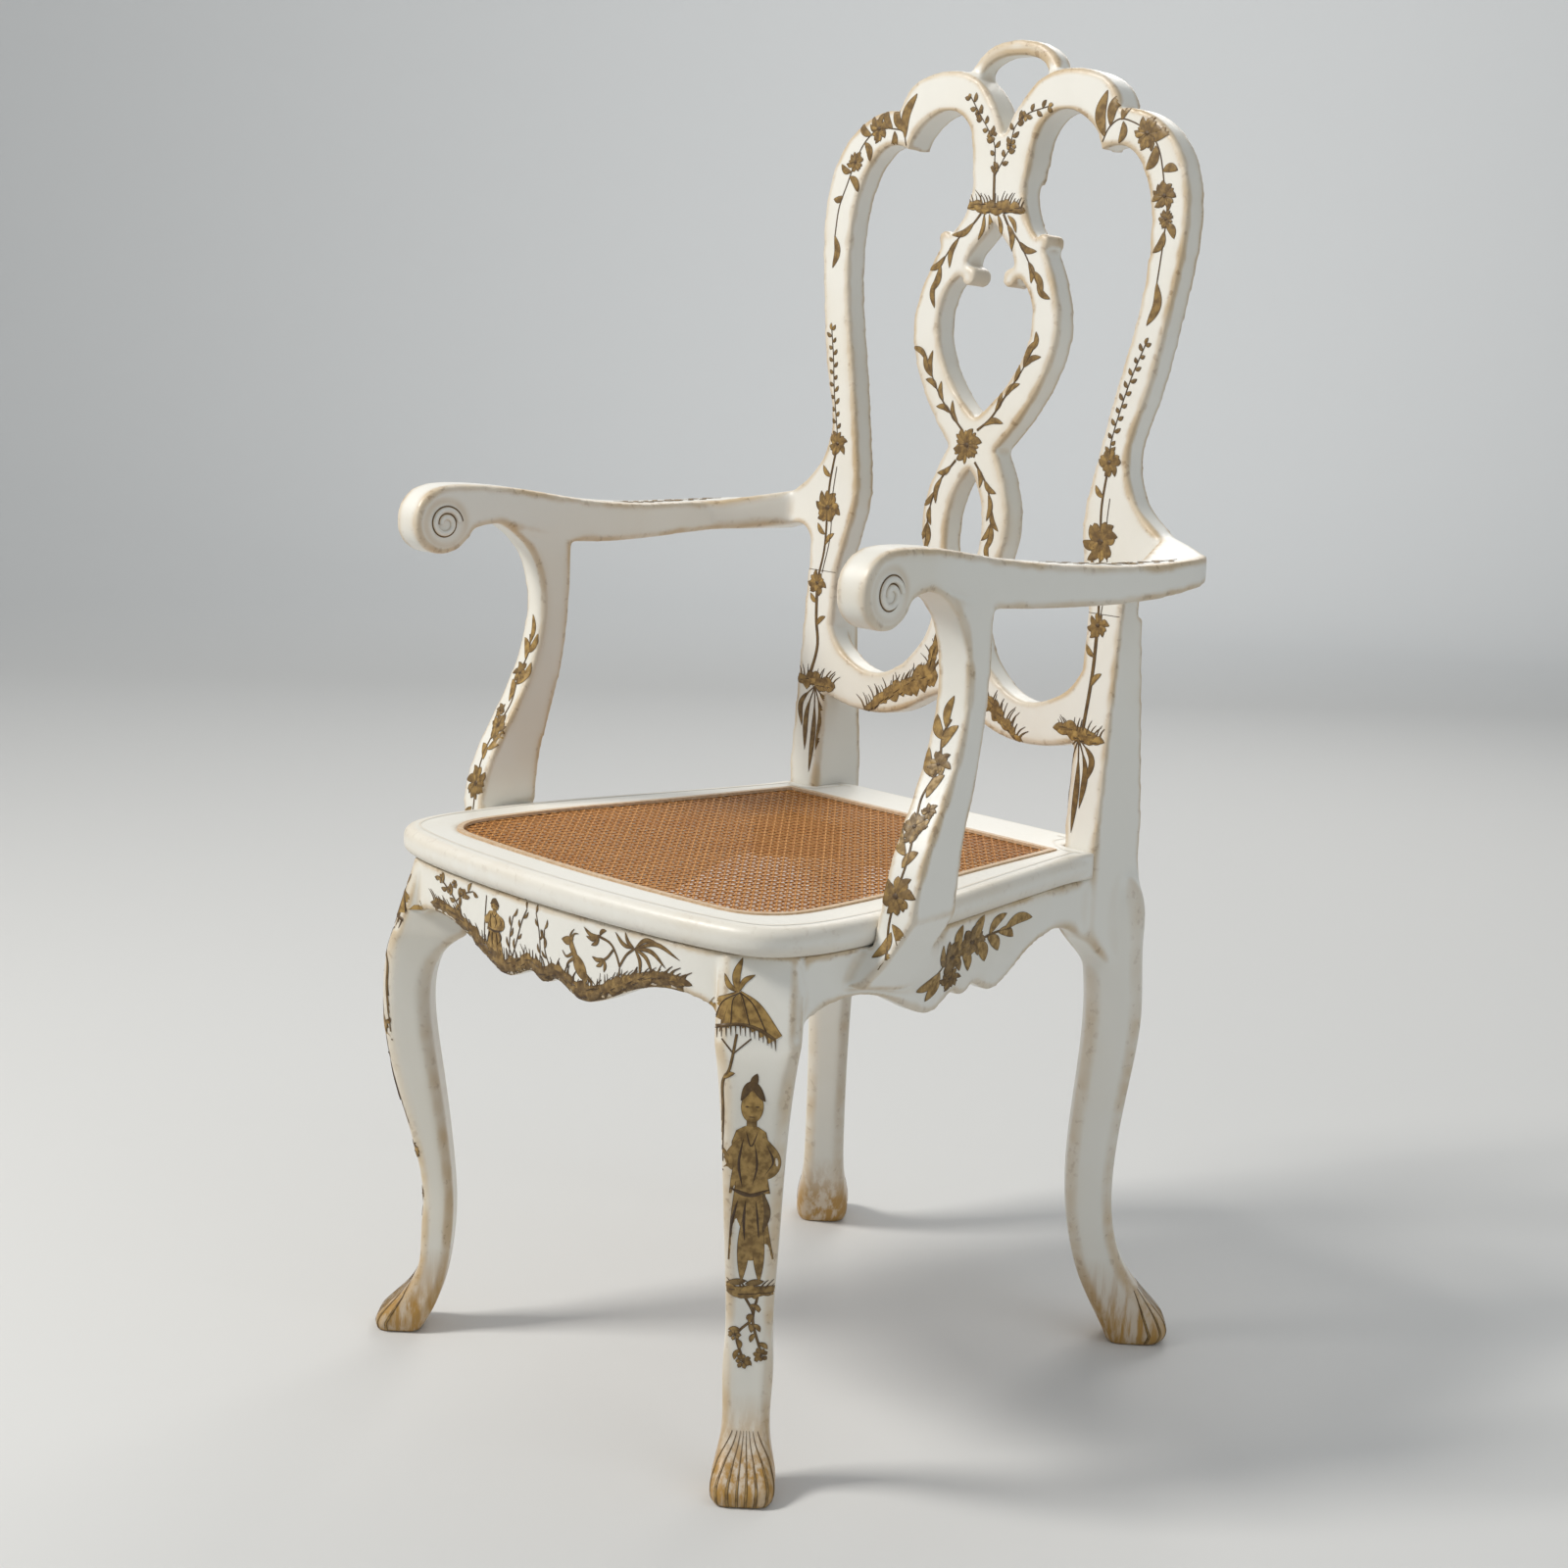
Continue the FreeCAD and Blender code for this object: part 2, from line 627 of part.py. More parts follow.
loop_inner = [loop_top, V(loop_open * 0.62, loop_top.y - (loop_top.y - loop_wide.y) * 0.36, 0),
              V(loop_open, loop_wide.y, 0),
              V(loop_open * 0.66, loop_low.y + (loop_wide.y - loop_low.y) * 0.32, 0), loop_low]
splat_right = [pear_neck, pear_outer, loop_outer]
splat_outline = splat_right + [[base, V(0, base.y, 0)], mirrored([base, V(0, base.y, 0)])]
splat_outline += [mirrored(part) for part in reversed(splat_right)]
splat_outline += [mirrored([V(0, neck.y, 0), neck]), [V(0, neck.y, 0), neck]]
splat_outline += [apex_side, pear_inner, mirrored(pear_inner), mirrored(apex_side)]
splat_outline += [loop_inner, mirrored(loop_inner)]
splat = back_piece("splat_board", splat_outline)

rail_high = V(inner, S("rail_end_high"), 0)
rail_low = V(inner, S("rail_end_low"), 0)
dip = V(S("dip_half"), S("dip_rise"), 0)
under = V(S("dip_half") + 6, S("dip_rise") - S("dip_band"), 0)
rail_mid = V(0, S("rail_mid_rise"), 0)
in_step = base - dip
end_step = rail_high - dip
rail_top = [base, dip + V(in_step.x * 0.86, in_step.y * 0.64, 0),
            dip + V(in_step.x * 0.5, in_step.y * 0.22, 0), dip,
            dip + V(end_step.x * 0.5, end_step.y * 0.18, 0),
            dip + V(end_step.x * 0.84, end_step.y * 0.58, 0), rail_high]
mid_step = rail_mid - under
far_step = rail_low - under
rail_under = [rail_low, under + V(far_step.x * 0.6, far_step.y * 0.35, 0), under,
              under + V(mid_step.x * 0.5, mid_step.y * 0.32, 0),
              under + V(mid_step.x * 0.8, mid_step.y * 0.82, 0), rail_mid]
rail_outline = [rail_top, [rail_high, rail_low], rail_under, mirrored(rail_under)]
rail_outline += [mirrored([rail_high, rail_low]), mirrored(rail_top)]
rail_outline += [mirrored([base, V(0, base.y, 0)]), [V(0, base.y, 0), base]]
lower_rail = back_piece("lower_rail_board", rail_outline)

# Hoop on the crest, let into two flat seats cut in the lobes.
hoop_foot = V(S("arch_half"), S("arch_seat_rise"), 0)
hoop_rise = S("arch_rise") - S("arch_seat_rise")
shape_of_hoop = ((1, 0), (0.9, 0.46), (0.6, 0.83), (0, 1))
hoop_outer = [V(S("arch_half") * a, hoop_foot.y + hoop_rise * b, 0) for a, b in shape_of_hoop]
hoop_inner = [V((S("arch_half") - S("arch_band")) * a, hoop_foot.y + (hoop_rise - S("arch_band")) * b, 0)
              for a, b in shape_of_hoop]
hoop_outer = hoop_outer + mirrored(hoop_outer)[1:]
hoop_inner = hoop_inner + mirrored(hoop_inner)[1:]
hoop = body_at("hoop_board", back_place)
hoop_sketch = sketch_on(hoop, "XZ_Plane", "hoop_outline",
                        [hoop_outer, [hoop_outer[-1], hoop_inner[-1]],
                         hoop_inner, [hoop_inner[0], hoop_outer[0]]],
                        "Sizes.arch_depth / 2 - Sizes.crest_thickness / 2 - Sizes.arch_setback")
pad(hoop, hoop_sketch, "Sizes.arch_depth", back=True)
crest_tools = []
for side, s in sides:
    seat_cut = doc.addObject("Part::Box", f"hoop_{side}_seat")
    seat_cut.setExpression("Length", "Sizes.arch_band + 4 * Sizes.fit_gap")
    seat_cut.setExpression("Width", "Sizes.crest_thickness")
    seat_cut.setExpression("Height", "Sizes.arch_rise - Sizes.arch_seat_rise")
    wide = S("arch_band") + 4 * S("fit_gap")
    corner_x = S("arch_half") + 2 * S("fit_gap") - (wide if s > 0 else 0)
    front = (S("crest_thickness") - S("arch_depth")) / 2 + S("arch_setback") - S("fit_gap")
    spot = V(s * corner_x, front, S("arch_seat_rise"))
    seat_cut.Placement = back_place * FreeCAD.Placement(spot, FreeCAD.Rotation())
    crest_tools.append(seat_cut)

# Arms: sawn twice, once to the side view and once to the plan.
arm_top = S("seat_height") + S("arm_rise")
arm_low = arm_top - S("arm_height")
scroll_z = S("seat_height") + S("scroll_rise")
radius = S("scroll_radius")


def on_scroll(degrees, grow=0):
    turn = math.radians(degrees)
    return V(S("scroll_y") + (radius + grow) * math.cos(turn), scroll_z + (radius + grow) * math.sin(turn), 0)


joint_front = V(-122, arm_low + 20, 0)
joint_rear = V(-48, arm_low + 2, 0)
throat = V(S("scroll_y") + radius + 1, scroll_z - 8, 0)
back_y = S("post_front") + 70
arm_profile = [[joint_front, V(joint_front.x - 14, joint_front.y - 1, 0), throat],
               [throat, on_scroll(-62), on_scroll(-95), on_scroll(-140), on_scroll(180), on_scroll(130, 1),
                V(S("scroll_y") + 27, scroll_z + radius + 4, 0),
                V(-105, arm_top + 20, 0), V(-50, arm_top + 11, 0),
                V(5, arm_top + 4, 0), V(65, arm_top, 0), V(140, arm_top - 1, 0), V(back_y, arm_top, 0)],
               [V(back_y, arm_top, 0), V(back_y, arm_low + 10, 0)],
               [V(back_y, arm_low + 10, 0), V(150, arm_low + 3, 0), V(50, arm_low - 1, 0), joint_rear],
               [joint_rear, joint_front]]
ear_mid = (S("ear_low_rise") + S("ear_high_rise")) / 2
ear_mid_y = S("post_front") + ear_mid * math.sin(math.radians(S("back_rake"))) + S("back_thickness") / 2
waist_x = S("arm_waist_half")
bulge_x = S("arm_bulge_half")
arm_path = [V(S("arm_front_half"), S("scroll_y") - radius - 6, 0),
            V((S("arm_front_half") + waist_x) / 2 + 2, -150, 0),
            V(waist_x + 1, -85, 0), V(waist_x, -20, 0), V((waist_x + bulge_x) / 2, 40, 0),
            V(bulge_x - 2, 85, 0), V(bulge_x, 125, 0), V(bulge_x - 6, 165, 0),
            V(bulge_x - 14, ear_mid_y - 22, 0), V(S("ear_half"), ear_mid_y, 0)]
arm_half = S("arm_width") / 2
arm_left_edge = offset_line(arm_path, arm_half)
arm_right_edge = offset_line(arm_path, -arm_half)
end_half = S("back_thickness") / 2
arm_left_edge[-1] = V(S("ear_half"), ear_mid_y - end_half, 0)
arm_right_edge[-1] = V(S("ear_half"), ear_mid_y + end_half, 0)
arms = {}
for side, s in sides:
    arm = body_at(f"arm_{side}_board", chair_place)
    arm_sketch = sketch_on(arm, "YZ_Plane", f"arm_{side}_profile", arm_profile,
                           "Sizes.ear_half" if s > 0 else "-Sizes.ear_half")
    pad(arm, arm_sketch, "Sizes.arm_bulge_half - Sizes.ear_half + Sizes.arm_width", back=s < 0)
    plan = body_at(f"arm_{side}_plan_board", chair_place)
    plan_outline = [flip(s, arm_left_edge), flip(s, [arm_left_edge[-1], arm_right_edge[-1]]),
                    flip(s, arm_right_edge), flip(s, [arm_right_edge[0], arm_left_edge[0]])]
    plan_sketch = sketch_on(plan, "XY_Plane", f"arm_{side}_plan", plan_outline, "Sizes.seat_height")
    pad(plan, plan_sketch, "Sizes.arm_rise + 4 * Sizes.scroll_radius")
    arms[side] = common(f"arm_{side}_sawn", [arm, plan])

# Arm supports: an S sawn from a thick board, let over the seat's edge and thinned to a toe.
toe_z = frame_low - S("apron_arch_drop") + 10
support_front = [joint_front, V(-104, arm_low + 9, 0), V(-88, arm_low - 9, 0), V(-79, arm_low - 33, 0),
                 V(-77, arm_low - 62, 0), V(-84, arm_low - 98, 0), V(-103, arm_low - 142, 0),
                 V(-127, S("seat_height") + 43, 0), V(-137, S("seat_height") + 10, 0),
                 V(-142, frame_low + 6, 0),
                 V(-152, (frame_low + toe_z) / 2, 0), V(-164, toe_z, 0)]
support_rear = [V(-104, toe_z - 12, 0), V(-95, (frame_low + toe_z) / 2 - 6, 0), V(-85, frame_low, 0),
                V(-80, S("seat_height") + 15, 0), V(-74, S("seat_height") + 55, 0), V(-62, arm_low - 133, 0),
                V(-53, arm_low - 88, 0), V(-49, arm_low - 40, 0), joint_rear]
supports = {}
support_places = {}
for side, s in sides:
    turn = FreeCAD.Rotation(V(0, 0, 1), s * S("support_angle"))
    pivot = FreeCAD.Placement(V(s * S("support_x"), S("support_y"), 0), turn)
    support_places[side] = chair_place * pivot
    board = body_at(f"support_{side}_board", support_places[side])
    local = [[p - V(S("support_y"), 0, 0) for p in part] for part in
             (support_front, [support_front[-1], support_rear[0]], support_rear, [joint_rear, joint_front])]
    outline = sketch_on(board, "YZ_Plane", f"support_{side}_outline", local,
                        "-Sizes.support_lap" if s > 0 else "Sizes.support_lap")
    pad(board, outline, "Sizes.support_width + Sizes.support_lap", back=s < 0)
    lap = S("support_lap")
    wide = S("support_width")
    high = S("seat_height") + S("fit_gap")
    trim_outline = [V(-lap - 1, high, 0), V(0, high, 0), V(0, arm_top + 60, 0), V(-lap - 1, arm_top + 60, 0)]
    wedge_outline = [V(wide + 1, toe_z - 40, 0), V(wide + 1, S("seat_height") + 5, 0),
                     V(wide, S("seat_height"), 0),
                     V(S("support_toe") - 6, toe_z, 0), V(S("support_toe") - 12, toe_z - 40, 0)]
    trim = sketch_on(board, "XZ_Plane", f"support_{side}_trim",
                     closed(flip(s, trim_outline)) + closed(flip(s, wedge_outline)))
    pocket_all(board, trim)
    supports[side] = board

# What the supports are let over: the seat frame's edge and the aprons' faces, with the fit gap.
lap_tools = []
frame_room = ("frame", S("fit_gap"), "Sizes.seat_height - Sizes.frame_thickness - Sizes.fit_gap",
              "Sizes.frame_thickness + 2 * Sizes.fit_gap")
apron_room = ("apron", S("fit_gap") - S("seat_overhang"),
              "Sizes.seat_height - Sizes.frame_thickness - 2 * Sizes.apron_drop", "2 * Sizes.apron_drop")
for name, spread, low, high in (frame_room, apron_room):
    room = body_at(f"lap_{name}", chair_place)
    room_sketch = sketch_on(room, "XY_Plane", f"lap_{name}_plan", seat_region(spread, S("frame_rear_y")), low)
    pad(room, room_sketch, high)
    lap_tools.append(room)


# Aprons: bands under the seat's edge with scalloped lower edges.
def scallop(half, low, arch, end):
    # Lower edge of an apron from its middle to one end, as (along, height).
    return [[V(0, low + 5, 0), V(half * 0.035, low + 6.5, 0), V(half * 0.06, low + 11, 0)],
            [V(half * 0.06, low + 11, 0), V(half * 0.11, low + 9, 0), V(half * 0.22, low, 0),
             V(half * 0.33, low + 4, 0), V(half * 0.54, (low + arch) / 2 + 8, 0), V(half * 0.74, arch, 0),
             V(half * 0.9, arch - 6, 0), V(half, end, 0), V(half * 1.12, end - 16, 0)]]


lobe_z = frame_low - S("apron_drop")
arch_z = frame_low - S("apron_arch_drop")
end_z = frame_low - S("apron_end_drop")
low_z = lobe_z - 40


def scallop_waste(middle, half):
    right = [[V(middle + p.x, p.y, 0) for p in part] for part in scallop(half, lobe_z, arch_z, end_z)]
    left = [[V(2 * middle - p.x, p.y, 0) for p in part] for part in right]
    end = right[-1][-1]
    start = left[-1][-1]
    return right + left + [[end, V(end.x + 60, end.y, 0)], [V(end.x + 60, end.y, 0), V(end.x + 60, low_z, 0)],
                           [V(end.x + 60, low_z, 0), V(start.x - 60, low_z, 0)],
                           [V(start.x - 60, low_z, 0), V(start.x - 60, start.y, 0)],
                           [V(start.x - 60, start.y, 0), start]]


def band(points):
    back = offset_line(points, S("apron_thickness"))
    return points, list(reversed(back))


post_corner = axis_at + (S("front_post_outer") - 8) / math.sqrt(2)
half_front = post_corner - half_width / math.sqrt(2)
edge_line = whole_edge(-S("seat_overhang"))
front_line = edge_line[6:-6]
outer_line, inner_line = band(list(reversed(front_line)))
front_apron = body_at("front_apron_board", chair_place)
front_plan = sketch_on(front_apron, "XY_Plane", "front_apron_plan",
                       [outer_line, [outer_line[-1], inner_line[0]],
                        inner_line, [inner_line[-1], outer_line[0]]],
                       "Sizes.seat_height - Sizes.frame_thickness - Sizes.apron_drop")
pad(front_apron, front_plan, "Sizes.apron_drop")
front_cut = sketch_on(front_apron, "XZ_Plane", "front_apron_scallop", scallop_waste(0, half_front))
pocket_all(front_apron, front_cut)

side_line = seat_edge(-S("seat_overhang"))[:7]
side_line[0] = V(side_line[0].x, S("post_front"), 0)
side_mid = (S("post_front") - half_front) / 2
side_half = (S("post_front") + half_front) / 2
side_aprons = {}
for side, s in sides:
    apron = body_at(f"side_apron_{side}_board", chair_place)
    back = offset_line(side_line, -S("apron_thickness"))
    back[0] = V(back[0].x, S("post_front"), 0)
    back = list(reversed(back))
    plan_sketch = sketch_on(apron, "XY_Plane", f"side_apron_{side}_plan",
                            [flip(s, side_line), flip(s, [side_line[-1], back[0]]), flip(s, back),
                             flip(s, [back[-1], side_line[0]])],
                            "Sizes.seat_height - Sizes.frame_thickness - Sizes.apron_drop")
    pad(apron, plan_sketch, "Sizes.apron_drop")
    side_cut = sketch_on(apron, "YZ_Plane", f"side_apron_{side}_scallop", scallop_waste(side_mid, side_half))
    pocket_all(apron, side_cut)
    side_aprons[side] = apron

rear_apron = body_at("rear_apron_board", chair_place)
rear_low = frame_low - S("rear_apron_drop")
rear_outline = [[V(-inner, frame_low, 0), V(inner, frame_low, 0)],
                [V(inner, frame_low, 0), V(inner, rear_low, 0)],
                [V(inner, rear_low, 0), V(0, rear_low + 14, 0), V(-inner, rear_low, 0)],
                [V(-inner, rear_low, 0), V(-inner, frame_low, 0)]]
rear_sketch = sketch_on(rear_apron, "XZ_Plane", "rear_apron_outline", rear_outline, "-Sizes.post_front")
pad(rear_apron, rear_sketch, "Sizes.apron_thickness", back=True)

# Room taken by the front posts, to cut the aprons' ends on the mitre.
post_rooms = []
for side, s in sides:
    room = doc.addObject("Part::Box", f"front_{side}_room")
    room.setExpression("Length", "Sizes.front_post_inner + Sizes.front_post_outer")
    room.setExpression("Width", "Sizes.front_post_width")
    room.setExpression("Height", "Sizes.seat_height")
    corner = V(-S("front_post_inner"), -half_width, 0)
    room.Placement = front_places[side] * FreeCAD.Placement(corner, FreeCAD.Rotation())
    post_rooms.append(room)

# Corner blocks: cut to the inside of the aprons and screwed to the legs and the seat frame.
inside = body_at("inside_room", chair_place)
inside_grow = -S("seat_overhang") - S("apron_thickness") - S("fit_gap")
inside_sketch = sketch_on(inside, "XY_Plane", "inside_plan", seat_region(inside_grow, S("post_front")), None)
pad(inside, inside_sketch, "Sizes.seat_height")
block_places = {}
blocks = {}
rear_corner = V(S("post_inner") + 4, S("post_front") - 4, 0)
for side, s in sides:
    block_places["front_" + side] = front_places[side] * FreeCAD.Placement(
        V(-S("front_post_inner"), 0, 0), FreeCAD.Rotation())
    turn = FreeCAD.Rotation(V(0, 0, 1), 90 - s * 45)
    spot = V(s * rear_corner.x, rear_corner.y, 0)
    block_places["rear_" + side] = chair_place * FreeCAD.Placement(spot, turn)
for corner, place in block_places.items():
    box = doc.addObject("Part::Box", f"block_{corner}_box")
    box.setExpression("Length", "Sizes.block_depth")
    box.setExpression("Width", "Sizes.block_width")
    box.setExpression("Height", "Sizes.block_height")
    low = frame_low - S("block_height")
    spot = V(-S("block_depth"), -S("block_width") / 2, low)
    box.Placement = place * FreeCAD.Placement(spot, FreeCAD.Rotation())
    blocks[corner] = common(f"block_{corner}_fitted", [box, inside])

# Dowels and their bores.
along_x = V(1, 0, 0)
along_y = V(0, 1, 0)
upward = V(0, 0, 1)
spots = []
front_y = edge_line[7].y + S("apron_thickness") / 2
mitre_x = -front_y - 2 * S("leg_axis_shift") - half_width * math.sqrt(2)
for z in (frame_low - 14, frame_low - 34):
    for side, s in sides:
        spots.append((("front_apron", "front_leg_" + side), chair_place, V(s * mitre_x, front_y, z), along_x))
dowel_set("front_apron_dowels", spots)

spots = []
mid_line = offset_line(side_line, -S("apron_thickness") / 2)
rear_x = mid_line[0].x
front_x = mid_line[-2].x - 1
mitre_y = -front_x - 2 * S("leg_axis_shift") + half_width * math.sqrt(2)
for z in (frame_low - 14, frame_low - 34):
    for side, s in sides:
        spots.append((("side_apron_" + side, "front_leg_" + side), chair_place,
                      V(s * front_x, mitre_y, z), along_y))
        spots.append((("side_apron_" + side, "rear_leg_" + side), chair_place,
                      V(s * rear_x, S("post_front"), z), along_y))
dowel_set("side_apron_dowels", spots)

spots = []
for z in (frame_low - 14, frame_low - 34):
    for side, s in sides:
        spots.append((("rear_apron", "rear_leg_" + side), chair_place,
                      V(s * inner, S("post_front") + S("apron_thickness") / 2, z), along_x))
dowel_set("rear_apron_dowels", spots)

mid_depth = S("back_thickness") / 2
spots = []
for side, s in sides:
    for rise in (S("rail_end_low") + 12, S("rail_end_low") + 28):
        spots.append((("lower_back_rail", "rear_leg_" + side), back_place,
                      V(s * inner, mid_depth, rise), along_x))
dowel_set("back_rail_dowels", spots)

spots = []
for s in (-1, 1):
    spots.append((("back_splat", "crest_rail"), back_place, V(s * neck.x / 2, mid_depth, neck.y), upward))
    spots.append((("back_splat", "lower_back_rail"), back_place,
                  V(s * base.x / 2, mid_depth, base.y), upward))
dowel_set("splat_dowels", spots)

spots = []
joint_line = notch - cusp
for side, s in sides:
    across = V(s * joint_line.y, 0, -joint_line.x)
    middle = (notch + cusp) * 0.5
    spots.append((("crest_rail", "back_stile_" + side), back_place,
                  V(s * middle.x, mid_depth, middle.y), across))
dowel_set("crest_dowels", spots)

spots = []
hoop_mid = S("crest_thickness") / 2 + S("arch_setback")
for s in (-1, 1):
    spots.append((("crest_rail", "crest_arch"), back_place,
                  V(s * (S("arch_half") - S("arch_band") / 2), hoop_mid, hoop_foot.y - 8), upward))
dowel_set("arch_dowels", spots)

spots = []
for side, s in sides:
    for share in (0.3, 0.7):
        x = inner + S("post_width") * share
        spots.append((("rear_leg_" + side, "back_stile_" + side), back_place,
                      V(s * x, mid_depth, S("splice_rise")), upward))
dowel_set("splice_dowels", spots)

spots = []
for side, s in sides:
    spots.append((("arm_" + side, "back_stile_" + side), back_place,
                  V(s * S("ear_half"), mid_depth, ear_mid), along_x))
dowel_set("arm_dowels", spots)

spots = []
for side, s in sides:
    for share in (0.62, 0.84):
        point = joint_front + (joint_rear - joint_front) * share
        local = V(s * S("support_width") / 2, point.x - S("support_y"), point.y - 3)
        spots.append((("arm_" + side, "arm_support_" + side), support_places[side], local, upward))
dowel_set("support_dowels", spots)

spots = []
frame_mid = S("seat_height") - S("frame_thickness") / 2 - 1.5
tongue_y = (S("cane_rear_y") + S("rebate_width") + S("post_front")) / 2 + 1
mitre_reach = reach_on_mitre(seat_edge(0)) - S("mitre_dowel_inset")
for side, s in sides:
    mitre_place = chair_place * FreeCAD.Placement(mitre, front_places[side].Rotation)
    spots.append((("seat_frame_front", "seat_frame_" + side), mitre_place,
                  V(mitre_reach, 0, frame_mid), along_y))
    spots.append((("seat_frame_rear", "seat_frame_" + side), chair_place,
                  V(s * inner, tongue_y, frame_mid), along_x))
dowel_set("seat_frame_dowels", spots)


# Screws: a round head on a plain shank, with a bore through what they hold.
def screw_set(name, length, spots):
    screws = []
    for i, (owners, place, head_spot, direction) in enumerate(spots):
        way = V(direction).normalize()
        turn = FreeCAD.Rotation(V(0, 0, 1), way)
        shank = doc.addObject("Part::Cylinder", f"{name}_shank_{i}")
        shank.setExpression("Radius", "Sizes.screw_radius")
        shank.Height = length
        shank.Placement = place * FreeCAD.Placement(head_spot, turn)
        head = doc.addObject("Part::Cylinder", f"{name}_head_{i}")
        head.setExpression("Radius", "Sizes.screw_head_radius")
        head.setExpression("Height", "Sizes.screw_head_height")
        head.Placement = place * FreeCAD.Placement(head_spot - way * S("screw_head_height"), turn)
        whole = doc.addObject("Part::Fuse", f"{name}_screw_{i}")
        whole.Base = head
        whole.Tool = shank
        screws.append(whole)
        for owner in owners:
            bore = doc.addObject("Part::Cylinder", f"{name}_bore_{i}_{owner}")
            bore.setExpression("Radius", "Sizes.screw_radius + Sizes.dowel_gap")
            bore.Height = length + 2
            bore.Placement = place * FreeCAD.Placement(head_spot, turn)
            bores_of.setdefault(owner, []).append(bore)
    keep(name, compound(name, screws))


spots = []
block_z = frame_low - S("block_height") / 2
for side, s in sides:
    spots.append((("corner_block_front_" + side, "front_leg_" + side), block_places["front_" + side],
                  V(-S("block_depth"), 0, block_z), along_x))
    spots.append((("corner_block_rear_" + side, "rear_leg_" + side), block_places["rear_" + side],
                  V(-S("block_depth"), 0, block_z), along_x))
screw_set("corner_block_screws", S("block_depth") + 20, spots)

spots = []
for side, s in sides:
    for end in ("front_", "rear_"):
        owner = "seat_frame_" + side
        shift = 18 if end == "front_" else -18
        spots.append((("corner_block_" + end + side, owner), block_places[end + side],
                      V(-S("block_depth") / 2, s * shift, frame_low - S("block_height")), upward))
screw_set("seat_frame_screws", S("block_height") + 13, spots)

spots = []
screw_y = -118
for side, s in sides:
    reach = offset_line(side_line, -S("apron_thickness"))
    for z, y in ((frame_low - 8, screw_y + 10), (frame_low - 18, screw_y - 8)):
        share = (y - reach[4].y) / (reach[3].y - reach[4].y)
        x = reach[4].x + (reach[3].x - reach[4].x) * share
        spots.append((("side_apron_" + side, "arm_support_" + side), chair_place,
                      V(s * (x - 0.6), y, z), V(s, 0, 0)))
screw_set("arm_support_screws", S("apron_thickness") + 13, spots)

# Finished pieces: each blank with its neighbours' room and its bores taken out.
blanks = {
    "front_apron": (front_apron, post_rooms),
    "rear_apron": (rear_apron, []),
    "back_splat": (splat, []),
    "crest_rail": (crest, crest_tools),
    "crest_arch": (hoop, []),
    "lower_back_rail": (lower_rail, []),
    "seat_frame_front": (frame_parts["front"], []),
    "seat_frame_rear": (frame_parts["rear"], []),
}
for i, (side, s) in enumerate(sides):
    blanks["front_leg_" + side] = (front_legs[side], [])
    blanks["rear_leg_" + side] = (rear_legs[side], [])
    blanks["back_stile_" + side] = (stiles[side], [])
    blanks["arm_" + side] = (arms[side], [])
    blanks["arm_support_" + side] = (supports[side], lap_tools)
    blanks["side_apron_" + side] = (side_aprons[side], [post_rooms[i]])
    blanks["seat_frame_" + side] = (frame_parts[side], [])
    blanks["corner_block_front_" + side] = (blocks["front_" + side], [front_apron, side_aprons[side]])
    blanks["corner_block_rear_" + side] = (blocks["rear_" + side], [side_aprons[side]])
for name, (blank, rooms) in blanks.items():
    shaped = blank
    for i, room in enumerate(rooms):
        shaped = cut(f"{name}_shaped_{i}", shaped, [room])
    bores = bores_of.get(name, [])
    keep(name, cut(f"{name}_bored", shaped, bores) if bores else shaped)

doc.recompute()
faults = [o.Name for o in doc.Objects if "Invalid" in o.State or "Error" in o.State]
if faults:
    raise RuntimeError("failed: " + ", ".join(faults))
for node in nodes:
    if node.Shape.isNull() or not node.Shape.isValid() or node.Shape.Volume < 1:
        raise RuntimeError("bad shape: " + node.Label)

os.makedirs("parts", exist_ok=True)
for node in nodes:
    node.Shape.exportStep(f"parts/{node.Label}.step")
    box = node.Shape.BoundBox
    print(node.Label, len(node.Shape.Solids), round(node.Shape.Volume / 1000, 1),
          [round(v, 1) for v in (box.XMin, box.XMax, box.YMin, box.YMax, box.ZMin, box.ZMax)])
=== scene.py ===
import math
import random
import bmesh
import bpy
import numpy as np
from mathutils import Matrix, Vector
from mathutils.bvhtree import BVHTree


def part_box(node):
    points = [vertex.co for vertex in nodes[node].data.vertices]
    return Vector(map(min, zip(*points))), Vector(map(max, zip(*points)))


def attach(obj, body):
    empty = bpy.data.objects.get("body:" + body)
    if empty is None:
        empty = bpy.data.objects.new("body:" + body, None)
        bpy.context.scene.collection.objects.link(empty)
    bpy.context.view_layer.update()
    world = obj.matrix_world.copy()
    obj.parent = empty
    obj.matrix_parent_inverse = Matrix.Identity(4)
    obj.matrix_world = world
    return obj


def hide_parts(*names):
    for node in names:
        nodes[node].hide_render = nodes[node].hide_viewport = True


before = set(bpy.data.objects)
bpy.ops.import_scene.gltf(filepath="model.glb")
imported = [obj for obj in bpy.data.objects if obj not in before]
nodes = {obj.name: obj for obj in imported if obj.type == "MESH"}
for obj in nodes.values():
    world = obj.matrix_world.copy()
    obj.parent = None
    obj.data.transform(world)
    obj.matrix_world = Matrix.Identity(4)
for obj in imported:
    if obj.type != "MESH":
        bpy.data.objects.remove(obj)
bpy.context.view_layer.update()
scene = bpy.context.scene
print("frame loaded:", len(nodes), "nodes")


# camera: the chair's right front corner, a little above the seat
viewing = {"place": (1.69427, -1.62385, 0.95512), "turn": 46.51, "tilt": 10.97, "roll": -2.10,
           "lens": 63.84, "sensor": 36, "far": 50}


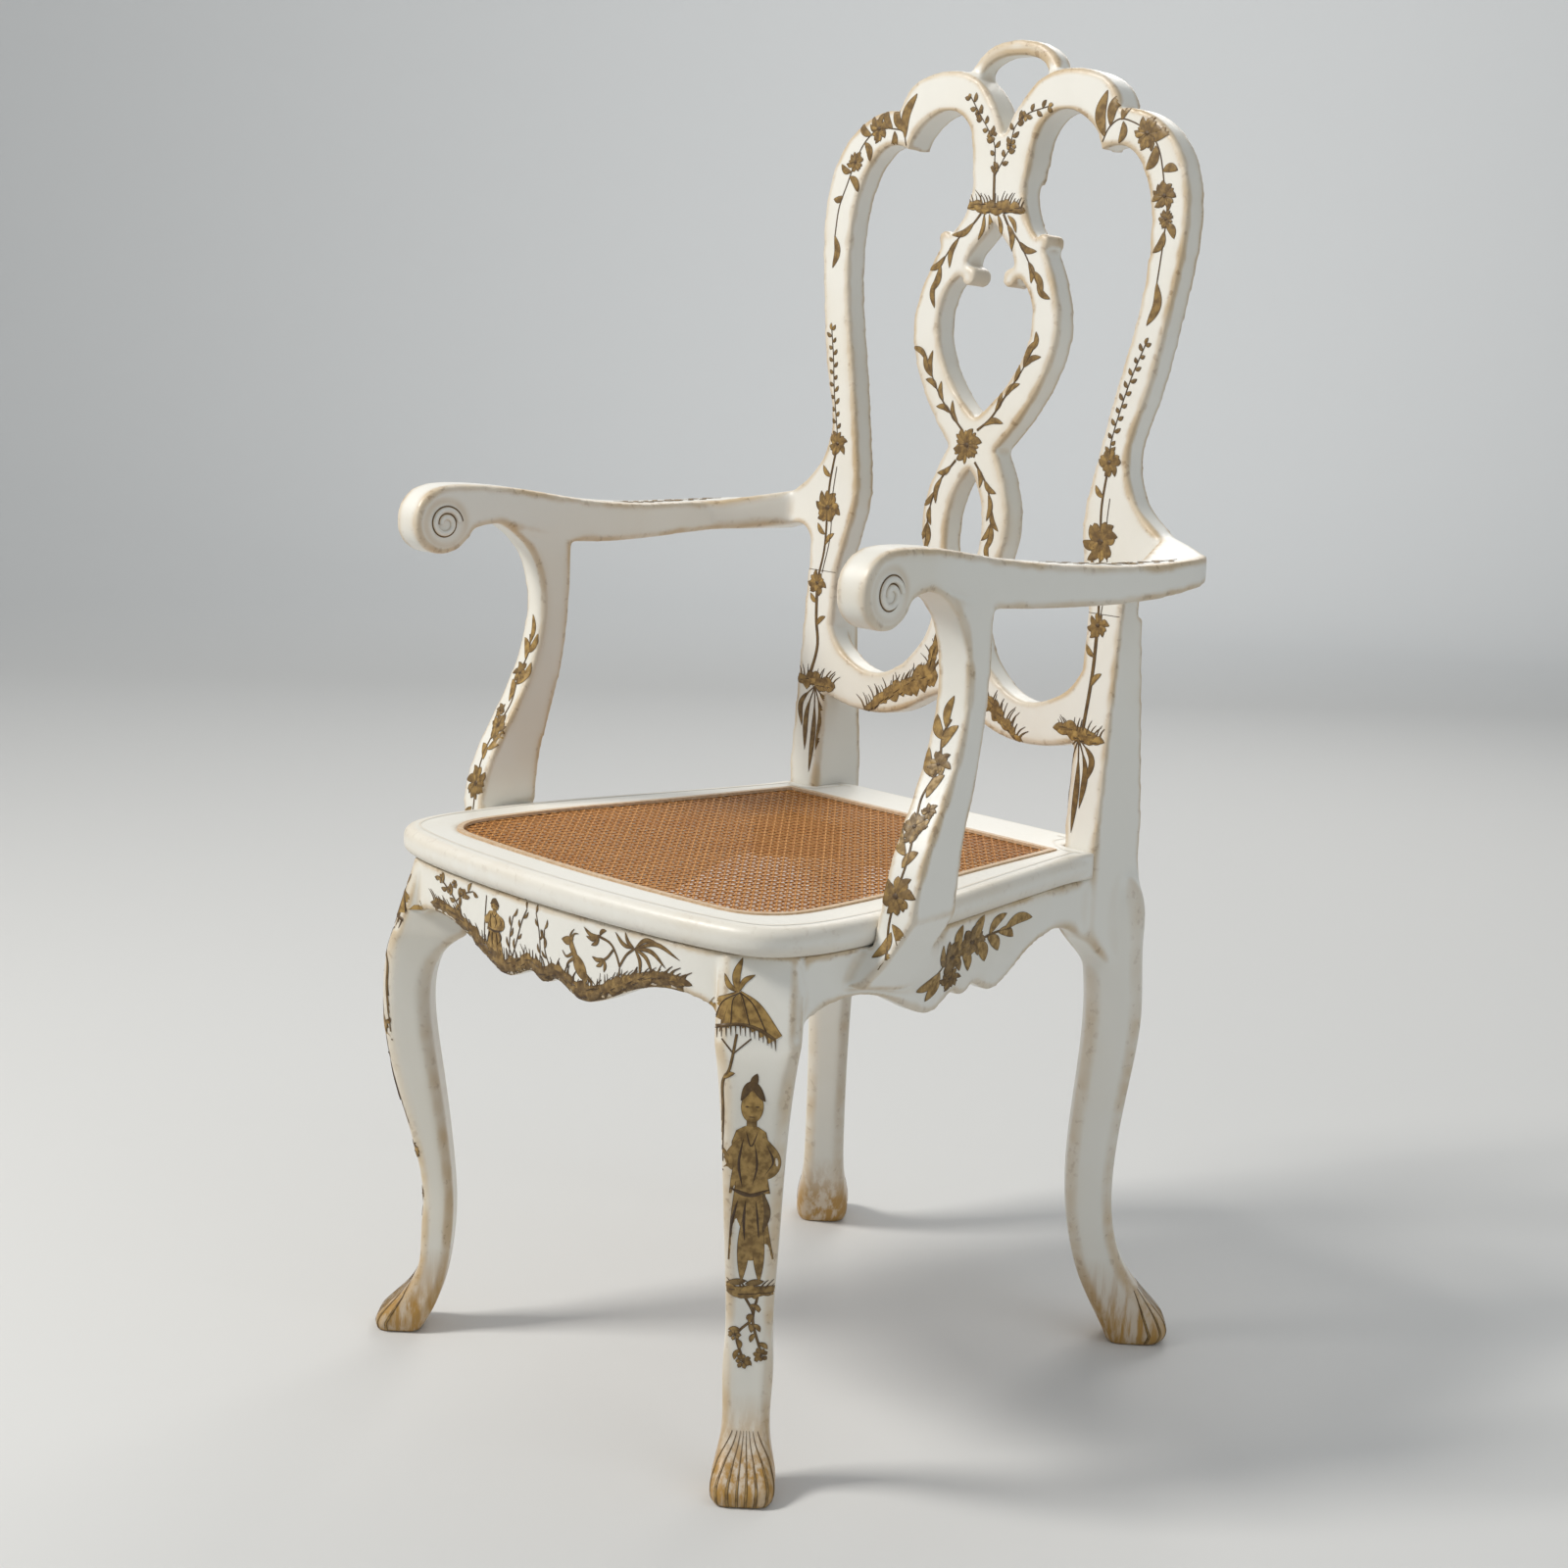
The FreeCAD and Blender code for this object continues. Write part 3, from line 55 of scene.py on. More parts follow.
def addCamera():
    turn, tilt, roll = (math.radians(viewing[k]) for k in ("turn", "tilt", "roll"))
    ahead = Vector((-math.sin(turn) * math.cos(tilt), math.cos(turn) * math.cos(tilt), -math.sin(tilt)))
    right = Vector((math.cos(turn), math.sin(turn), 0))
    down = ahead.cross(right)
    across = right * math.cos(roll) + down * math.sin(roll)
    below = down * math.cos(roll) - right * math.sin(roll)
    eye = bpy.data.cameras.new("eye")
    eye.lens = viewing["lens"]
    eye.sensor_width = viewing["sensor"]
    eye.clip_end = viewing["far"]
    camera = bpy.data.objects.new("eye", eye)
    scene.collection.objects.link(camera)
    facing = Matrix((across, -below, -ahead)).transposed().to_4x4()
    camera.matrix_world = Matrix.Translation(viewing["place"]) @ facing
    scene.camera = camera


addCamera()
print("camera set")


# a smooth mesh object with named values on its points
def newPiece(name, points, faces, material, tones):
    mesh = bpy.data.meshes.new(name)
    mesh.from_pydata(points, [], faces)
    mesh.polygons.foreach_set("use_smooth", [True] * len(mesh.polygons))
    for label, values in tones.items():
        mesh.attributes.new(label, "FLOAT", "POINT").data.foreach_set("value", values)
    mesh.materials.append(material)
    piece = bpy.data.objects.new(name, mesh)
    scene.collection.objects.link(piece)
    return piece


# shader helpers: a socket takes a plain value or another node's output
def feed(tree, node, given):
    for key, value in given.items():
        socket = node.inputs[key]
        if isinstance(value, bpy.types.NodeSocket):
            tree.links.new(value, socket)
        else:
            socket.default_value = (*value, 1) if socket.type == "RGBA" else value


def newNode(tree, kind, given, **settings):
    node = tree.nodes.new("ShaderNode" + kind)
    for key, value in settings.items():
        setattr(node, key, value)
    feed(tree, node, given)
    return node


def newMaterial(name):
    material = bpy.data.materials.new(name)
    material.use_nodes = True
    tree = material.node_tree
    tree.nodes.clear()
    shader = newNode(tree, "BsdfPrincipled", {})
    newNode(tree, "OutputMaterial", {0: shader.outputs[0]})
    return material, tree, shader


def math2(tree, kind, a, b, clamp=False):
    return newNode(tree, "Math", {0: a, 1: b}, operation=kind, use_clamp=clamp).outputs[0]


def mixColour(tree, share, a, b):
    return newNode(tree, "Mix", {0: share, 6: a, 7: b}, data_type="RGBA").outputs[2]


def spread(tree, value, low, high, newLow=0.0, newHigh=1.0):
    given = dict(enumerate((value, low, high, newLow, newHigh)))
    return newNode(tree, "MapRange", given, interpolation_type="SMOOTHSTEP").outputs[0]


def noise(tree, scale, detail=4.0, rough=0.55, stretch=(1, 1, 1), bend=0.0):
    place = newNode(tree, "TexCoord", {}).outputs["Object"]
    spot = newNode(tree, "Mapping", {0: place, "Scale": stretch}).outputs[0]
    given = {0: spot, "Scale": scale, "Detail": detail, "Roughness": rough, "Distortion": bend}
    return newNode(tree, "TexNoise", given).outputs[0]


def surfaceValue(tree, name):
    return newNode(tree, "Attribute", {}, attribute_name=name).outputs["Fac"]


def bump(tree, height, strength, distance):
    given = {"Strength": strength, "Distance": distance, "Height": height}
    return newNode(tree, "Bump", given).outputs[0]


# glaze rubbed into the hollows and left along the arrises, broken up by noise
glazeLook = {"clouds": ((1.0, 5.0), (9.0, 6.0), (0.4, 4.0)), "patchy": (0.36, 0.64), "rubbed": 0.5,
             "stain": (0.44, 0.66, 0.03, 0.48), "chips": (0.57, 0.66)}


def glazeGroup():
    group = bpy.data.node_groups.new("rubbedGlaze", "ShaderNodeTree")
    for way, labels in (("INPUT", ("Arris", "Hollow", "Bloom", "Patch Scale")),
                        ("OUTPUT", ("Glaze", "Bare", "Cloud"))):
        for label in labels:
            group.interface.new_socket(label, in_out=way, socket_type="NodeSocketFloat")
    given = group.nodes.new("NodeGroupInput").outputs
    place = newNode(group, "TexCoord", {}).outputs["Object"]
    clouds = []
    for factor, detail in glazeLook["clouds"]:
        scale = math2(group, "MULTIPLY", given["Patch Scale"], factor)
        cloud = newNode(group, "TexNoise", {0: place, "Scale": scale, "Detail": detail})
        clouds.append(cloud.outputs[0])
    patchy = spread(group, clouds[0], *glazeLook["patchy"])
    rubbed = math2(group, "MULTIPLY_ADD", patchy, glazeLook["rubbed"])
    along = math2(group, "MULTIPLY", given["Arris"], rubbed)
    into = math2(group, "MULTIPLY", given["Hollow"], rubbed)
    stain = math2(group, "MULTIPLY", given["Bloom"], spread(group, clouds[2], *glazeLook["stain"]))
    line = math2(group, "MAXIMUM", along, into, True)
    glaze = math2(group, "MAXIMUM", line, stain, True)
    bare = math2(group, "MULTIPLY", spread(group, clouds[1], *glazeLook["chips"]), along)
    feed(group, group.nodes.new("NodeGroupOutput"), {"Glaze": glaze, "Bare": bare, "Cloud": clouds[2]})
    return group


rubbedGlaze = glazeGroup()


# aged cream paint
creamLook = {"cream": (0.84, 0.825, 0.765), "warm": (0.80, 0.76, 0.66), "glaze": (0.52, 0.34, 0.13),
             "bare": (0.24, 0.13, 0.05), "gilt": (0.42, 0.235, 0.055), "coat": 0.12, "coatRough": 0.3,
             "patches": 16.0, "aged": (0.42, 0.72, 0.0, 0.6), "glazed": 0.72, "chipped": 0.45,
             "streak": (150, 5, 0.6, (1, 1, 0.1)), "streaked": (0.36, 0.62), "gilded": 0.55,
             "drag": (260, 3, 0.5, (1, 1, 0.25)), "gloss": (0.2, 0.8, 0.33, 0.52),
             "bump": (0.10, 0.0006)}


def creamPaint():
    material, tree, shader = newMaterial("creamPaint")
    arris, hollow, bloom, gilt = (surfaceValue(tree, k) for k in ("arris", "hollow", "bloom", "gilding"))
    given = {"Arris": arris, "Hollow": hollow, "Bloom": bloom, "Patch Scale": creamLook["patches"]}
    rub = newNode(tree, "Group", given, node_tree=rubbedGlaze).outputs
    aged = spread(tree, rub["Cloud"], *creamLook["aged"])
    coat = mixColour(tree, aged, creamLook["cream"], creamLook["warm"])
    for wear, share, under in (("Glaze", "glazed", "glaze"), ("Bare", "chipped", "bare")):
        worn = math2(tree, "MULTIPLY", rub[wear], creamLook[share])
        coat = mixColour(tree, worn, coat, creamLook[under])
    streak = spread(tree, noise(tree, *creamLook["streak"]), *creamLook["streaked"])
    share = math2(tree, "MULTIPLY", gilt, math2(tree, "MULTIPLY_ADD", streak, creamLook["gilded"]), True)
    drag = noise(tree, *creamLook["drag"])
    feed(tree, shader, {"Base Color": mixColour(tree, share, coat, creamLook["gilt"]),
                        "Roughness": spread(tree, drag, *creamLook["gloss"]),
                        "Coat Weight": creamLook["coat"], "Coat Roughness": creamLook["coatRough"],
                        "Normal": bump(tree, drag, *creamLook["bump"])})
    return material


paint = creamPaint()


# softened wood: the solids are fused, their arrises eased, and the skin parted again piece by piece
easing = {"voxel": 0.0020, "quickVoxel": 0.0030, "runPulls": (0.5, -0.53), "readRounds": 8,
          "bloomRounds": 36, "arris": (0.12, 0.3), "hollow": (0.28, 0.15), "bloom": (0.9, 0.1),
          "nearby": 0.006, "farthest": 0.03}
# gold left on the feet below a height, and glaze in a ring round each scroll
footGilt = {"below": 0.080, "fade": 0.055}
scrollRing = {"beyond": 6, "spread": 3.5, "share": 0.6, "past": 0.235, "facing": 0.5}


# carved scrolls on the cheeks of the arms: places, radii and widths in millimetres, the rest in metres
armScroll = {"middle": (-189, 708), "outer": 13.5, "inner": 3.8, "start": 5, "turns": 1.5, "points": 64,
             "width": 5.2, "rim": 0.9, "line": 1.5, "lineGap": 0.4, "height": 0.0028, "across": 0.274,
             "cheek": 0.02, "winding": 0.9, "tone": 0.9}


def readAll(items, key, width=1, kind=float):
    values = np.empty(len(items) * width, kind)
    items.foreach_get(key, values)
    return values.reshape(-1, width) if width > 1 else values


def nodePoints(name):
    mesh = nodes[name].data
    return readAll(mesh.vertices, "co", 3), [list(p.vertices) for p in mesh.polygons]


def merged(solids):
    points, faces, start = [], [], 0
    for solidPoints, solidFaces in solids:
        points.append(solidPoints)
        faces += [[start + i for i in face] for face in solidFaces]
        start += len(solidPoints)
    return np.vstack(points).tolist(), faces


def fused(name, solids, voxel):
    points, faces = merged(solids)
    mesh = bpy.data.meshes.new(name)
    mesh.from_pydata(points, [], faces)
    blank = bpy.data.objects.new(name, mesh)
    scene.collection.objects.link(blank)
    remesh = blank.modifiers.new("fuse", "REMESH")
    remesh.mode = "VOXEL"
    remesh.voxel_size = voxel
    skin = bpy.data.meshes.new_from_object(blank.evaluated_get(bpy.context.evaluated_depsgraph_get()))
    bpy.data.objects.remove(blank)
    return skin


def meshArrays(mesh):
    return readAll(mesh.vertices, "co", 3), readAll(mesh.edges, "vertices", 2, int)


def eased(points, edges, rounds, hold=None, pulls=(0.5,)):
    a, b = edges.T
    size = len(points)
    count = np.maximum(np.bincount(edges.ravel(), minlength=size), 1)[:, None]
    for turn in range(rounds):
        around = [np.bincount(a, points[b, k], size) + np.bincount(b, points[a, k], size)
                  for k in range(3)]
        step = (np.stack(around, 1) / count - points) * pulls[turn % len(pulls)]
        points = points + (step if hold is None else step * hold[:, None])
    return points


def normalsOf(mesh, points):
    mesh.vertices.foreach_set("co", points.ravel())
    mesh.update()
    return readAll(mesh.vertex_normals, "vector", 3)


def skinTones(mesh, points, edges, share=1.0):
    # how far a further easing would move each point: inward on an arris, outward in a hollow
    normals = normalsOf(mesh, points)
    near = eased(points, edges, easing["readRounds"])
    wide = eased(near, edges, easing["bloomRounds"])
    move = ((near - points) * normals).sum(1) / voxel
    reach = np.abs(((wide - points) * normals).sum(1)) / voxel
    y, z = armScroll["middle"]
    turn = np.hypot(points[:, 1] * 1000 - y,
                    points[:, 2] * 1000 - z) - armScroll["outer"] - scrollRing["beyond"]
    cheek = (np.abs(points[:, 0]) > scrollRing["past"]) * (np.abs(normals[:, 0]) > scrollRing["facing"])
    ring = np.exp(-(turn / scrollRing["spread"]) ** 2) * cheek * scrollRing["share"] * share
    arris, hollow, bloom = (np.clip(value / easing[key][0] - easing[key][1], 0, 1)
                            for key, value in (("arris", -move), ("hollow", move), ("bloom", reach)))
    gilding = np.clip((footGilt["below"] - points[:, 2]) / footGilt["fade"], 0, 1)
    return {"arris": arris * share, "hollow": np.maximum(hollow, ring), "bloom": bloom * share,
            "gilding": gilding}


def nearestPiece(centres, names):
    best = np.full(len(centres), 1.0)
    owner = np.zeros(len(centres), int)
    for i, name in enumerate(names):
        points, faces = nodePoints(name)
        tree = BVHTree.FromPolygons([Vector(p) for p in points], faces)
        low, high = points.min(0) - easing["nearby"], points.max(0) + easing["nearby"]
        inside = np.all((centres > low) & (centres < high), axis=1)
        for k in np.nonzero(inside)[0]:
            gap = tree.find_nearest(centres[k], easing["farthest"])[3]
            if gap is not None and gap < best[k]:
                best[k] = gap
                owner[k] = i
    return owner


def meshCorners(mesh):
    corners = readAll(mesh.loops, "vertex_index", 1, int)
    totals = readAll(mesh.polygons, "loop_total", 1, int)
    return corners, totals, np.concatenate(([0], np.cumsum(totals)[:-1]))


def partSkin(mesh, points, names, tones, material):
    # one piece for each node, cut from the fused skin, with the skin's own normals
    normals = normalsOf(mesh, points)
    corners, totals, starts = meshCorners(mesh)
    centres = np.add.reduceat(points[corners], starts) / totals[:, None]
    owner = nearestPiece(centres, names)
    pieces = []
    for i, name in enumerate(names):
        faces = [corners[s:s + n] for s, n in zip(starts[owner == i], totals[owner == i])]
        used, flat = np.unique(np.concatenate(faces), return_inverse=True)
        cuts = np.cumsum([len(f) for f in faces])[:-1]
        shape = points[used].tolist(), [list(f) for f in np.split(flat, cuts)]
        piece = newPiece(name + ".painted", *shape, material, {k: v[used] for k, v in tones.items()})
        piece.data.normals_split_custom_set_from_vertices(normals[used].tolist())
        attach(piece, "root")
        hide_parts(name)
        pieces.append(piece)
    return pieces


# the back's own plane: across, up along the rake, and into the wood
backPlane = {"origin": (0, 0.170, 0.455), "rake": 4.57, "thickness": 0.024}
rakeTurn = math.radians(backPlane["rake"])
backUp = Vector((0, math.sin(rakeTurn), math.cos(rakeTurn)))
backInto = Vector((0, math.cos(rakeTurn), -math.sin(rakeTurn)))


def backPoint(x, rise, deep):
    return Vector(backPlane["origin"]) + Vector((x, 0, 0)) + backUp * rise + backInto * deep


def away(centre, angle, reach):
    return centre[0] + reach * math.cos(angle), centre[1] + reach * math.sin(angle)


# little carved knobs where the splat's curves meet
splatKnobs = {"outer": (0.0585, 0.5125, 0.0070), "inner": (0.0245, 0.4805, 0.0085), "corners": 20}


def knobSolids():
    solids = []
    count = splatKnobs["corners"]
    for key in ("outer", "inner"):
        x, rise, radius = splatKnobs[key]
        for side in (-1, 1):
            ring = [away((side * x, rise), 2 * math.pi * k / count, radius) for k in range(count)]
            points = [backPoint(a, b, deep) for deep in (0, backPlane["thickness"]) for a, b in ring]
            faces = [list(range(count)), list(range(2 * count - 1, count - 1, -1))]
            faces += [[k, count + k, count + (k + 1) % count, (k + 1) % count] for k in range(count)]
            solids.append((np.array(points), faces))
    return solids


# fillers where the arm swells into the ear and the support's foot into the side apron:
# two pieces each, with the low and high corners of what they lend
swells = ((("arm_", (0.236, 0.12, 0.66), (0.263, 0.30, 0.76)),
           ("back_stile_", (0.220, 0.12, 0.66), (0.246, 0.30, 0.76))),
          (("arm_support_", (0.20, -0.19, 0.372), (0.33, -0.06, 0.428)),
           ("side_apron_", (0.20, -0.086, 0.385), (0.33, -0.045, 0.428))))


def swellSolids():
    solids = []
    for pair in swells:
        for side, sign in (("left", -1), ("right", 1)):
            hull = bmesh.new()
            for name, low, high in pair:
                points, faces = nodePoints(name + side)
                points = np.vstack([points] + [[points[f].mean(0)] for f in faces])
                inside = np.all((points * (sign, 1, 1) > low) & (points * (sign, 1, 1) < high), axis=1)
                for point in points[inside]:
                    hull.verts.new(point)
            bmesh.ops.convex_hull(hull, input=hull.verts)
            hull.verts.index_update()
            faces = [[v.index for v in f.verts] for f in hull.faces]
            solids.append((np.array([v.co for v in hull.verts]), faces))
            hull.free()
    return solids


def within(values, low, high, fade):
    return np.clip((values - low) / fade, 0, 1) * np.clip((high - values) / fade, 0, 1)


# where the skin is eased further, as a weight and (low, high, fade) across, in depth and in height
anyDepth = (-9, 9, 1)
behind = (0.11, 9, 1e-6)
rubbed = {"arms": (1, (0.215, 9, 0.012), anyDepth, (0.650, 9, 0.020)),
          "hoop": (1, (-9, 9, 1), anyDepth, (1.104, 9, 0.006))}
swollen = {"knees": (1, (0.130, 0.230, 0.010), (0.110, 0.270, 0.012), (0.300, 0.470, 0.020)),
           "feet": (1, (0.225, 0.320, 0.008), (-0.125, -0.030, 0.012), (0.386, 0.429, 0.006)),
           "ears": (0.6, (0.215, 0.268, 0.012), behind, (0.670, 0.745, 0.012))}
flowing = {"ears": (1, (0.198, 0.276, 0.012), behind, (0.660, 0.755, 0.012)),
           "feet": (1, (0.200, 0.320, 0.010), (-0.185, -0.030, 0.012), (0.330, 0.429, 0.006)),
           "knees": (1, (0.130, 0.230, 0.010), (0.110, 0.260, 0.012), (0.300, 0.425, 0.010))}
# rounds of easing, in full and quick
rounds = {"body": (6, 3), "rubbed": (4, 2), "swollen": (30, 12), "flowing": (120, 50), "frame": (4, 4)}
# the body's skin is held where the seat frame lies on it
frameSeat = {"under": 0.4305, "fade": 0.006, "least": 0.15, "above": 0.4312, "tone": 0.35}


def shareOf(points, regions):
    share = np.zeros(len(points))
    for weight, *spans in regions.values():
        part = np.full(len(points), float(weight))
        for values, span in zip((np.abs(points[:, 0]), points[:, 1], points[:, 2]), spans):
            part *= within(values, *span)
        share = np.maximum(share, part)
    return share


def roundsOf(kind):
    return rounds[kind][0]


voxel = easing["voxel"]
hidden = ("dowels", "screws")
frameNames = sorted(n for n in nodes if n.startswith("seat_frame_") and not n.endswith(hidden))
bodyNames = sorted(n for n in nodes if n not in frameNames and not n.endswith(hidden)
                   and not n.startswith(("cane", "corner_block")))

bodyMesh = fused("bodySkin", [nodePoints(n) for n in bodyNames] + knobSolids() + swellSolids(), voxel)
bodyPoints, bodyEdges = meshArrays(bodyMesh)
heights = bodyPoints[:, 2]
underFrame = np.clip((frameSeat["under"] - heights) / frameSeat["fade"], frameSeat["least"], 1)
hold = np.where(heights > frameSeat["above"], 1.0, underFrame)
bodyPoints = eased(bodyPoints, bodyEdges, roundsOf("body"), hold)
bodyPoints = eased(bodyPoints, bodyEdges, roundsOf("rubbed"), shareOf(bodyPoints, rubbed))
bodyPoints = eased(bodyPoints, bodyEdges, roundsOf("swollen"), shareOf(bodyPoints, swollen))
bodyPoints = eased(bodyPoints, bodyEdges, roundsOf("flowing"), shareOf(bodyPoints, flowing),
                   easing["runPulls"])
print("body eased:", len(bodyPoints), "points")
bodyTones = skinTones(bodyMesh, bodyPoints, bodyEdges)
bodyPieces = partSkin(bodyMesh, bodyPoints, bodyNames, bodyTones, paint)
print("body parted:", len(bodyPieces), "pieces")

frameMesh = fused("frameSkin", [nodePoints(n) for n in frameNames], voxel)
framePoints, frameEdges = meshArrays(frameMesh)
framePoints = eased(framePoints, frameEdges, roundsOf("frame"))
frameTones = skinTones(frameMesh, framePoints, frameEdges, frameSeat["tone"])
framePieces = partSkin(frameMesh, framePoints, frameNames, frameTones, paint)
print("seat frame parted:", len(framePieces), "pieces")


# brushwork: ribbons laid on the skin, each with a dark rim and a golden middle
brush = {"facing": 0.36, "layer": 0.00002, "layers": 9, "pitch": 1.3, "rim": 0.65, "lift": 0.00022,
         "crown": 0.00022, "reach": 0.09, "jump": 0.0045, "umber": (0.050, 0.024, 0.009),
         "bronze": (0.20, 0.115, 0.030), "gold": (0.45, 0.285, 0.088), "gloss": (0.62, 0.45),
         "wear": (170, 4, 0.55), "worn": (0.33, 0.67), "core": 0.35, "full": 1.6, "turns": 12}
profiles = {
    "line": lambda t: 1.0,
    "taper": lambda t: 1.0 - 0.8 * t,
    "leaf": lambda t: math.sin(math.pi * t) ** 0.8 + 0.05,
    "petal": lambda t: math.sin(math.pi * t ** 1.6) ** 0.7 + 0.08,
    "oval": lambda t: math.sqrt(max(0.0, 1 - (2 * t - 1) ** 2)) + 0.03,
    "fan": lambda t: 0.25 + 0.75 * t,
    "skirt": lambda t: 0.68 + 0.4 * t,
    "willow": lambda t: max(0.22 if t < 0.5 else 0.03,
                            math.sin(math.pi * max(0.0, (t - 0.2) / 0.8)) ** 0.8),
    "robe": lambda t: float(np.interp(t, (0, 0.07, 0.25, 0.5, 0.8, 1), (0.35, 0.8, 1.0, 0.8, 1.0, 1.1))),
}


def skinTree(pairs):
    solids = []
    for mesh, points in pairs:
        corners, totals, starts = meshCorners(mesh)
        solids.append((points, [corners[s:s + n].tolist() for s, n in zip(starts, totals)]))
    return BVHTree.FromPolygons(*merged(solids))


skin = skinTree([(bodyMesh, bodyPoints), (frameMesh, framePoints)])
frameSkin = skinTree([(frameMesh, framePoints)])


def brushMaterial():
    material, tree, shader = newMaterial("giltBrushwork")
    worn = spread(tree, noise(tree, *brush["wear"]), *brush["worn"])
    metal = mixColour(tree, worn, brush["bronze"], brush["gold"])
    share = math2(tree, "MULTIPLY", surfaceValue(tree, "rim"), surfaceValue(tree, "tint"), True)
    feed(tree, shader, {"Base Color": mixColour(tree, share, brush["umber"], metal),
                        "Roughness": spread(tree, worn, 0, 1, *brush["gloss"])})
    return material


giltBrushwork = brushMaterial()


def smoothPath(path, pitch):
    points = np.array(path, float)
    if len(points) > 2:
        padded = np.vstack((2 * points[0] - points[1], points, 2 * points[-1] - points[-2]))
        t = np.linspace(0, 1, brush["turns"], endpoint=False)[:, None]
        dense = []
        for a, b, c, d in zip(padded, padded[1:], padded[2:], padded[3:]):
            curve = (c - a) * t + (2 * a - 5 * b + 4 * c - d) * t ** 2 + (3 * b - a - 3 * c + d) * t ** 3
            dense.append(0.5 * (2 * b + curve))
        points = np.vstack(dense + [points[-1:]])
    along = np.concatenate(([0], np.cumsum(np.linalg.norm(np.diff(points, axis=0), axis=1))))
    count = max(int(along[-1] / pitch) + 1, 5)
    at = np.linspace(0, along[-1], count)
    return np.stack([np.interp(at, along, points[:, k]) for k in range(2)], 1)


def planeFace(origin, across, up, into):
    origin, across, up, into = (Vector(v) for v in (origin, across, up, into))

    def spot(u, v):
        return origin + across * (u / 1000) + up * (v / 1000) - into * brush["reach"], into
    return spot


# flowers, with shares of their radius, twigs and turf
petalled = {"rings": ((1.0, 0), (0.64, 2)), "double": 7, "stray": 0.2, "reach": (0.82, 1.18),
            "root": 0.15, "petal": 4.2, "tints": (0.6, 1.2), "heart": 0.2, "heartTint": 0.15,
            "tips": 6, "tipStray": 0.3, "tipReach": (0.85, 1.15), "tipWidth": 0.55}
twig = {"width": 2.4, "tint": 0.3, "spread": (14, 32), "sizes": (0.75, 1.15), "bend": 0.14,
        "tipFrom": 0.72, "tipReach": 0.3, "tipWidth": 1.2, "tipBend": 0.1}
turf = {"pitch": 3.4, "lean": 0.45, "fan": 0.8, "tall": (0.5, 1.1), "blade": (1.8, 3.0),
        "bladeTint": (0.3, 0.6), "sod": (5, 9), "sodShift": 0.2, "sodDepth": (0.55, 0.8),
        "gap": (2, 5), "gapShift": (-0.35, 0.25), "gapWidth": 1.2, "gapTint": 0.05}


